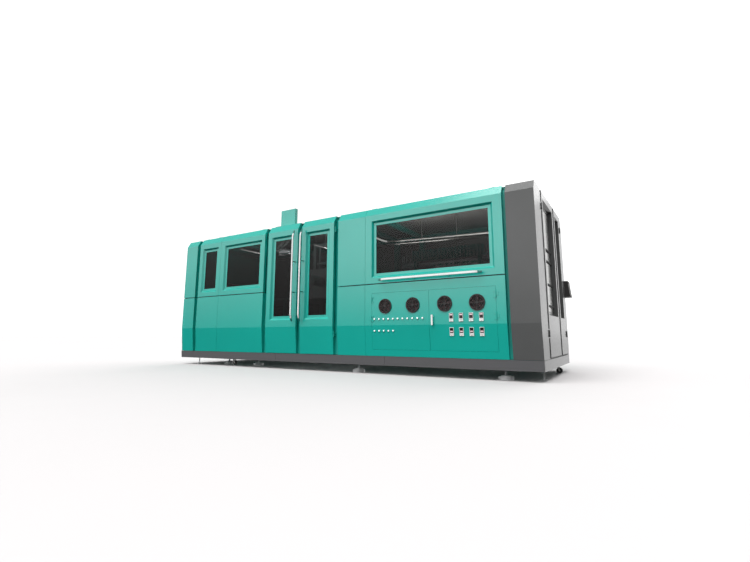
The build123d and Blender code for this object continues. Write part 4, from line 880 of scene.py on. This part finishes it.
def world():
    """White studio round the machine; the camera sees it white everywhere."""
    sky = bpy.data.worlds.new("studio")
    sky.use_nodes = True
    tree = sky.node_tree
    way = tree.nodes.new("ShaderNodeTexCoord").outputs["Generated"]

    def between(value, reach, low_out, high_out):
        node = tree.nodes.new("ShaderNodeMapRange")
        node.interpolation_type = "SMOOTHSTEP"
        tree.links.new(value, node.inputs["Value"])
        numbers = {"From Min": reach[0], "From Max": reach[1], "To Min": low_out, "To Max": high_out}
        for name, number in numbers.items():
            node.inputs[name].default_value = number
        return node.outputs["Result"]

    def combine(operation, first, second):
        node = tree.nodes.new("ShaderNodeMath")
        node.operation = operation
        for socket, value in zip(node.inputs, (first, second)):
            if isinstance(value, (int, float)):
                socket.default_value = value
            else:
                tree.links.new(value, socket)
        return node.outputs[0]

    def towards(direction):
        dot = tree.nodes.new("ShaderNodeVectorMath")
        dot.operation = "DOT_PRODUCT"
        dot.inputs[1].default_value = direction
        tree.links.new(way, dot.inputs[0])
        return dot.outputs["Value"]

    height = towards(z_axis)
    base = combine("MULTIPLY", between(height, (-horizon_soft, horizon_soft), base_below, base_above),
                   between(towards(right_way), right_reach, 1, right_dim))
    side = combine("MULTIPLY", between(towards(front_way), front_reach, 0, front_light),
                   between(towards(left_way), left_reach, 1, left_dim))
    front = combine("MULTIPLY", side, between(height, (0, front_rise), 0, 1))
    front = combine("MULTIPLY", front, between(height, front_fade, 1, front_top))
    back = between(towards(back_way), back_reach, 0, back_light)
    total = combine("ADD", base, combine("ADD", front, back))
    seen = tree.nodes.new("ShaderNodeLightPath").outputs["Is Camera Ray"]
    strength = combine("MAXIMUM", total, combine("MULTIPLY", seen, seen_light))
    background = tree.nodes["Background"]
    background.inputs["Color"].default_value = (1, 1, 1, 1)
    tree.links.new(strength, background.inputs["Strength"])
    bpy.context.scene.world = sky


light_inside()
floor()
world()
soft_suns()


# Camera, solved from the photograph's vanishing lines; pixels are the photograph's
photo_width = 750
photo_height = 562
focal_pixels = 418.25
principal = (377.14, 269.81)
sensor_width = 36
camera_place = (3.7798, -5.5496, 0.473)
camera_turn = math.radians(31.477)
camera_tilt = math.radians(9.007)


def camera():
    """The photograph's camera."""
    lens = bpy.data.cameras.new("photo camera")
    lens.sensor_width = sensor_width
    lens.lens = focal_pixels / photo_width * sensor_width
    lens.shift_x = (photo_width / 2 - principal[0]) / photo_width
    lens.shift_y = (principal[1] - photo_height / 2) / photo_width
    view = bpy.data.objects.new("photo camera", lens)
    ahead = Vector((-math.sin(camera_turn) * math.cos(camera_tilt),
                    math.cos(camera_turn) * math.cos(camera_tilt),
                    math.sin(camera_tilt)))
    view.location = camera_place
    view.rotation_euler = ahead.to_track_quat("-Z", "Y").to_euler()
    bpy.context.scene.collection.objects.link(view)
    bpy.context.scene.camera = view


camera()
bpy.context.scene.view_settings.view_transform = "Standard"
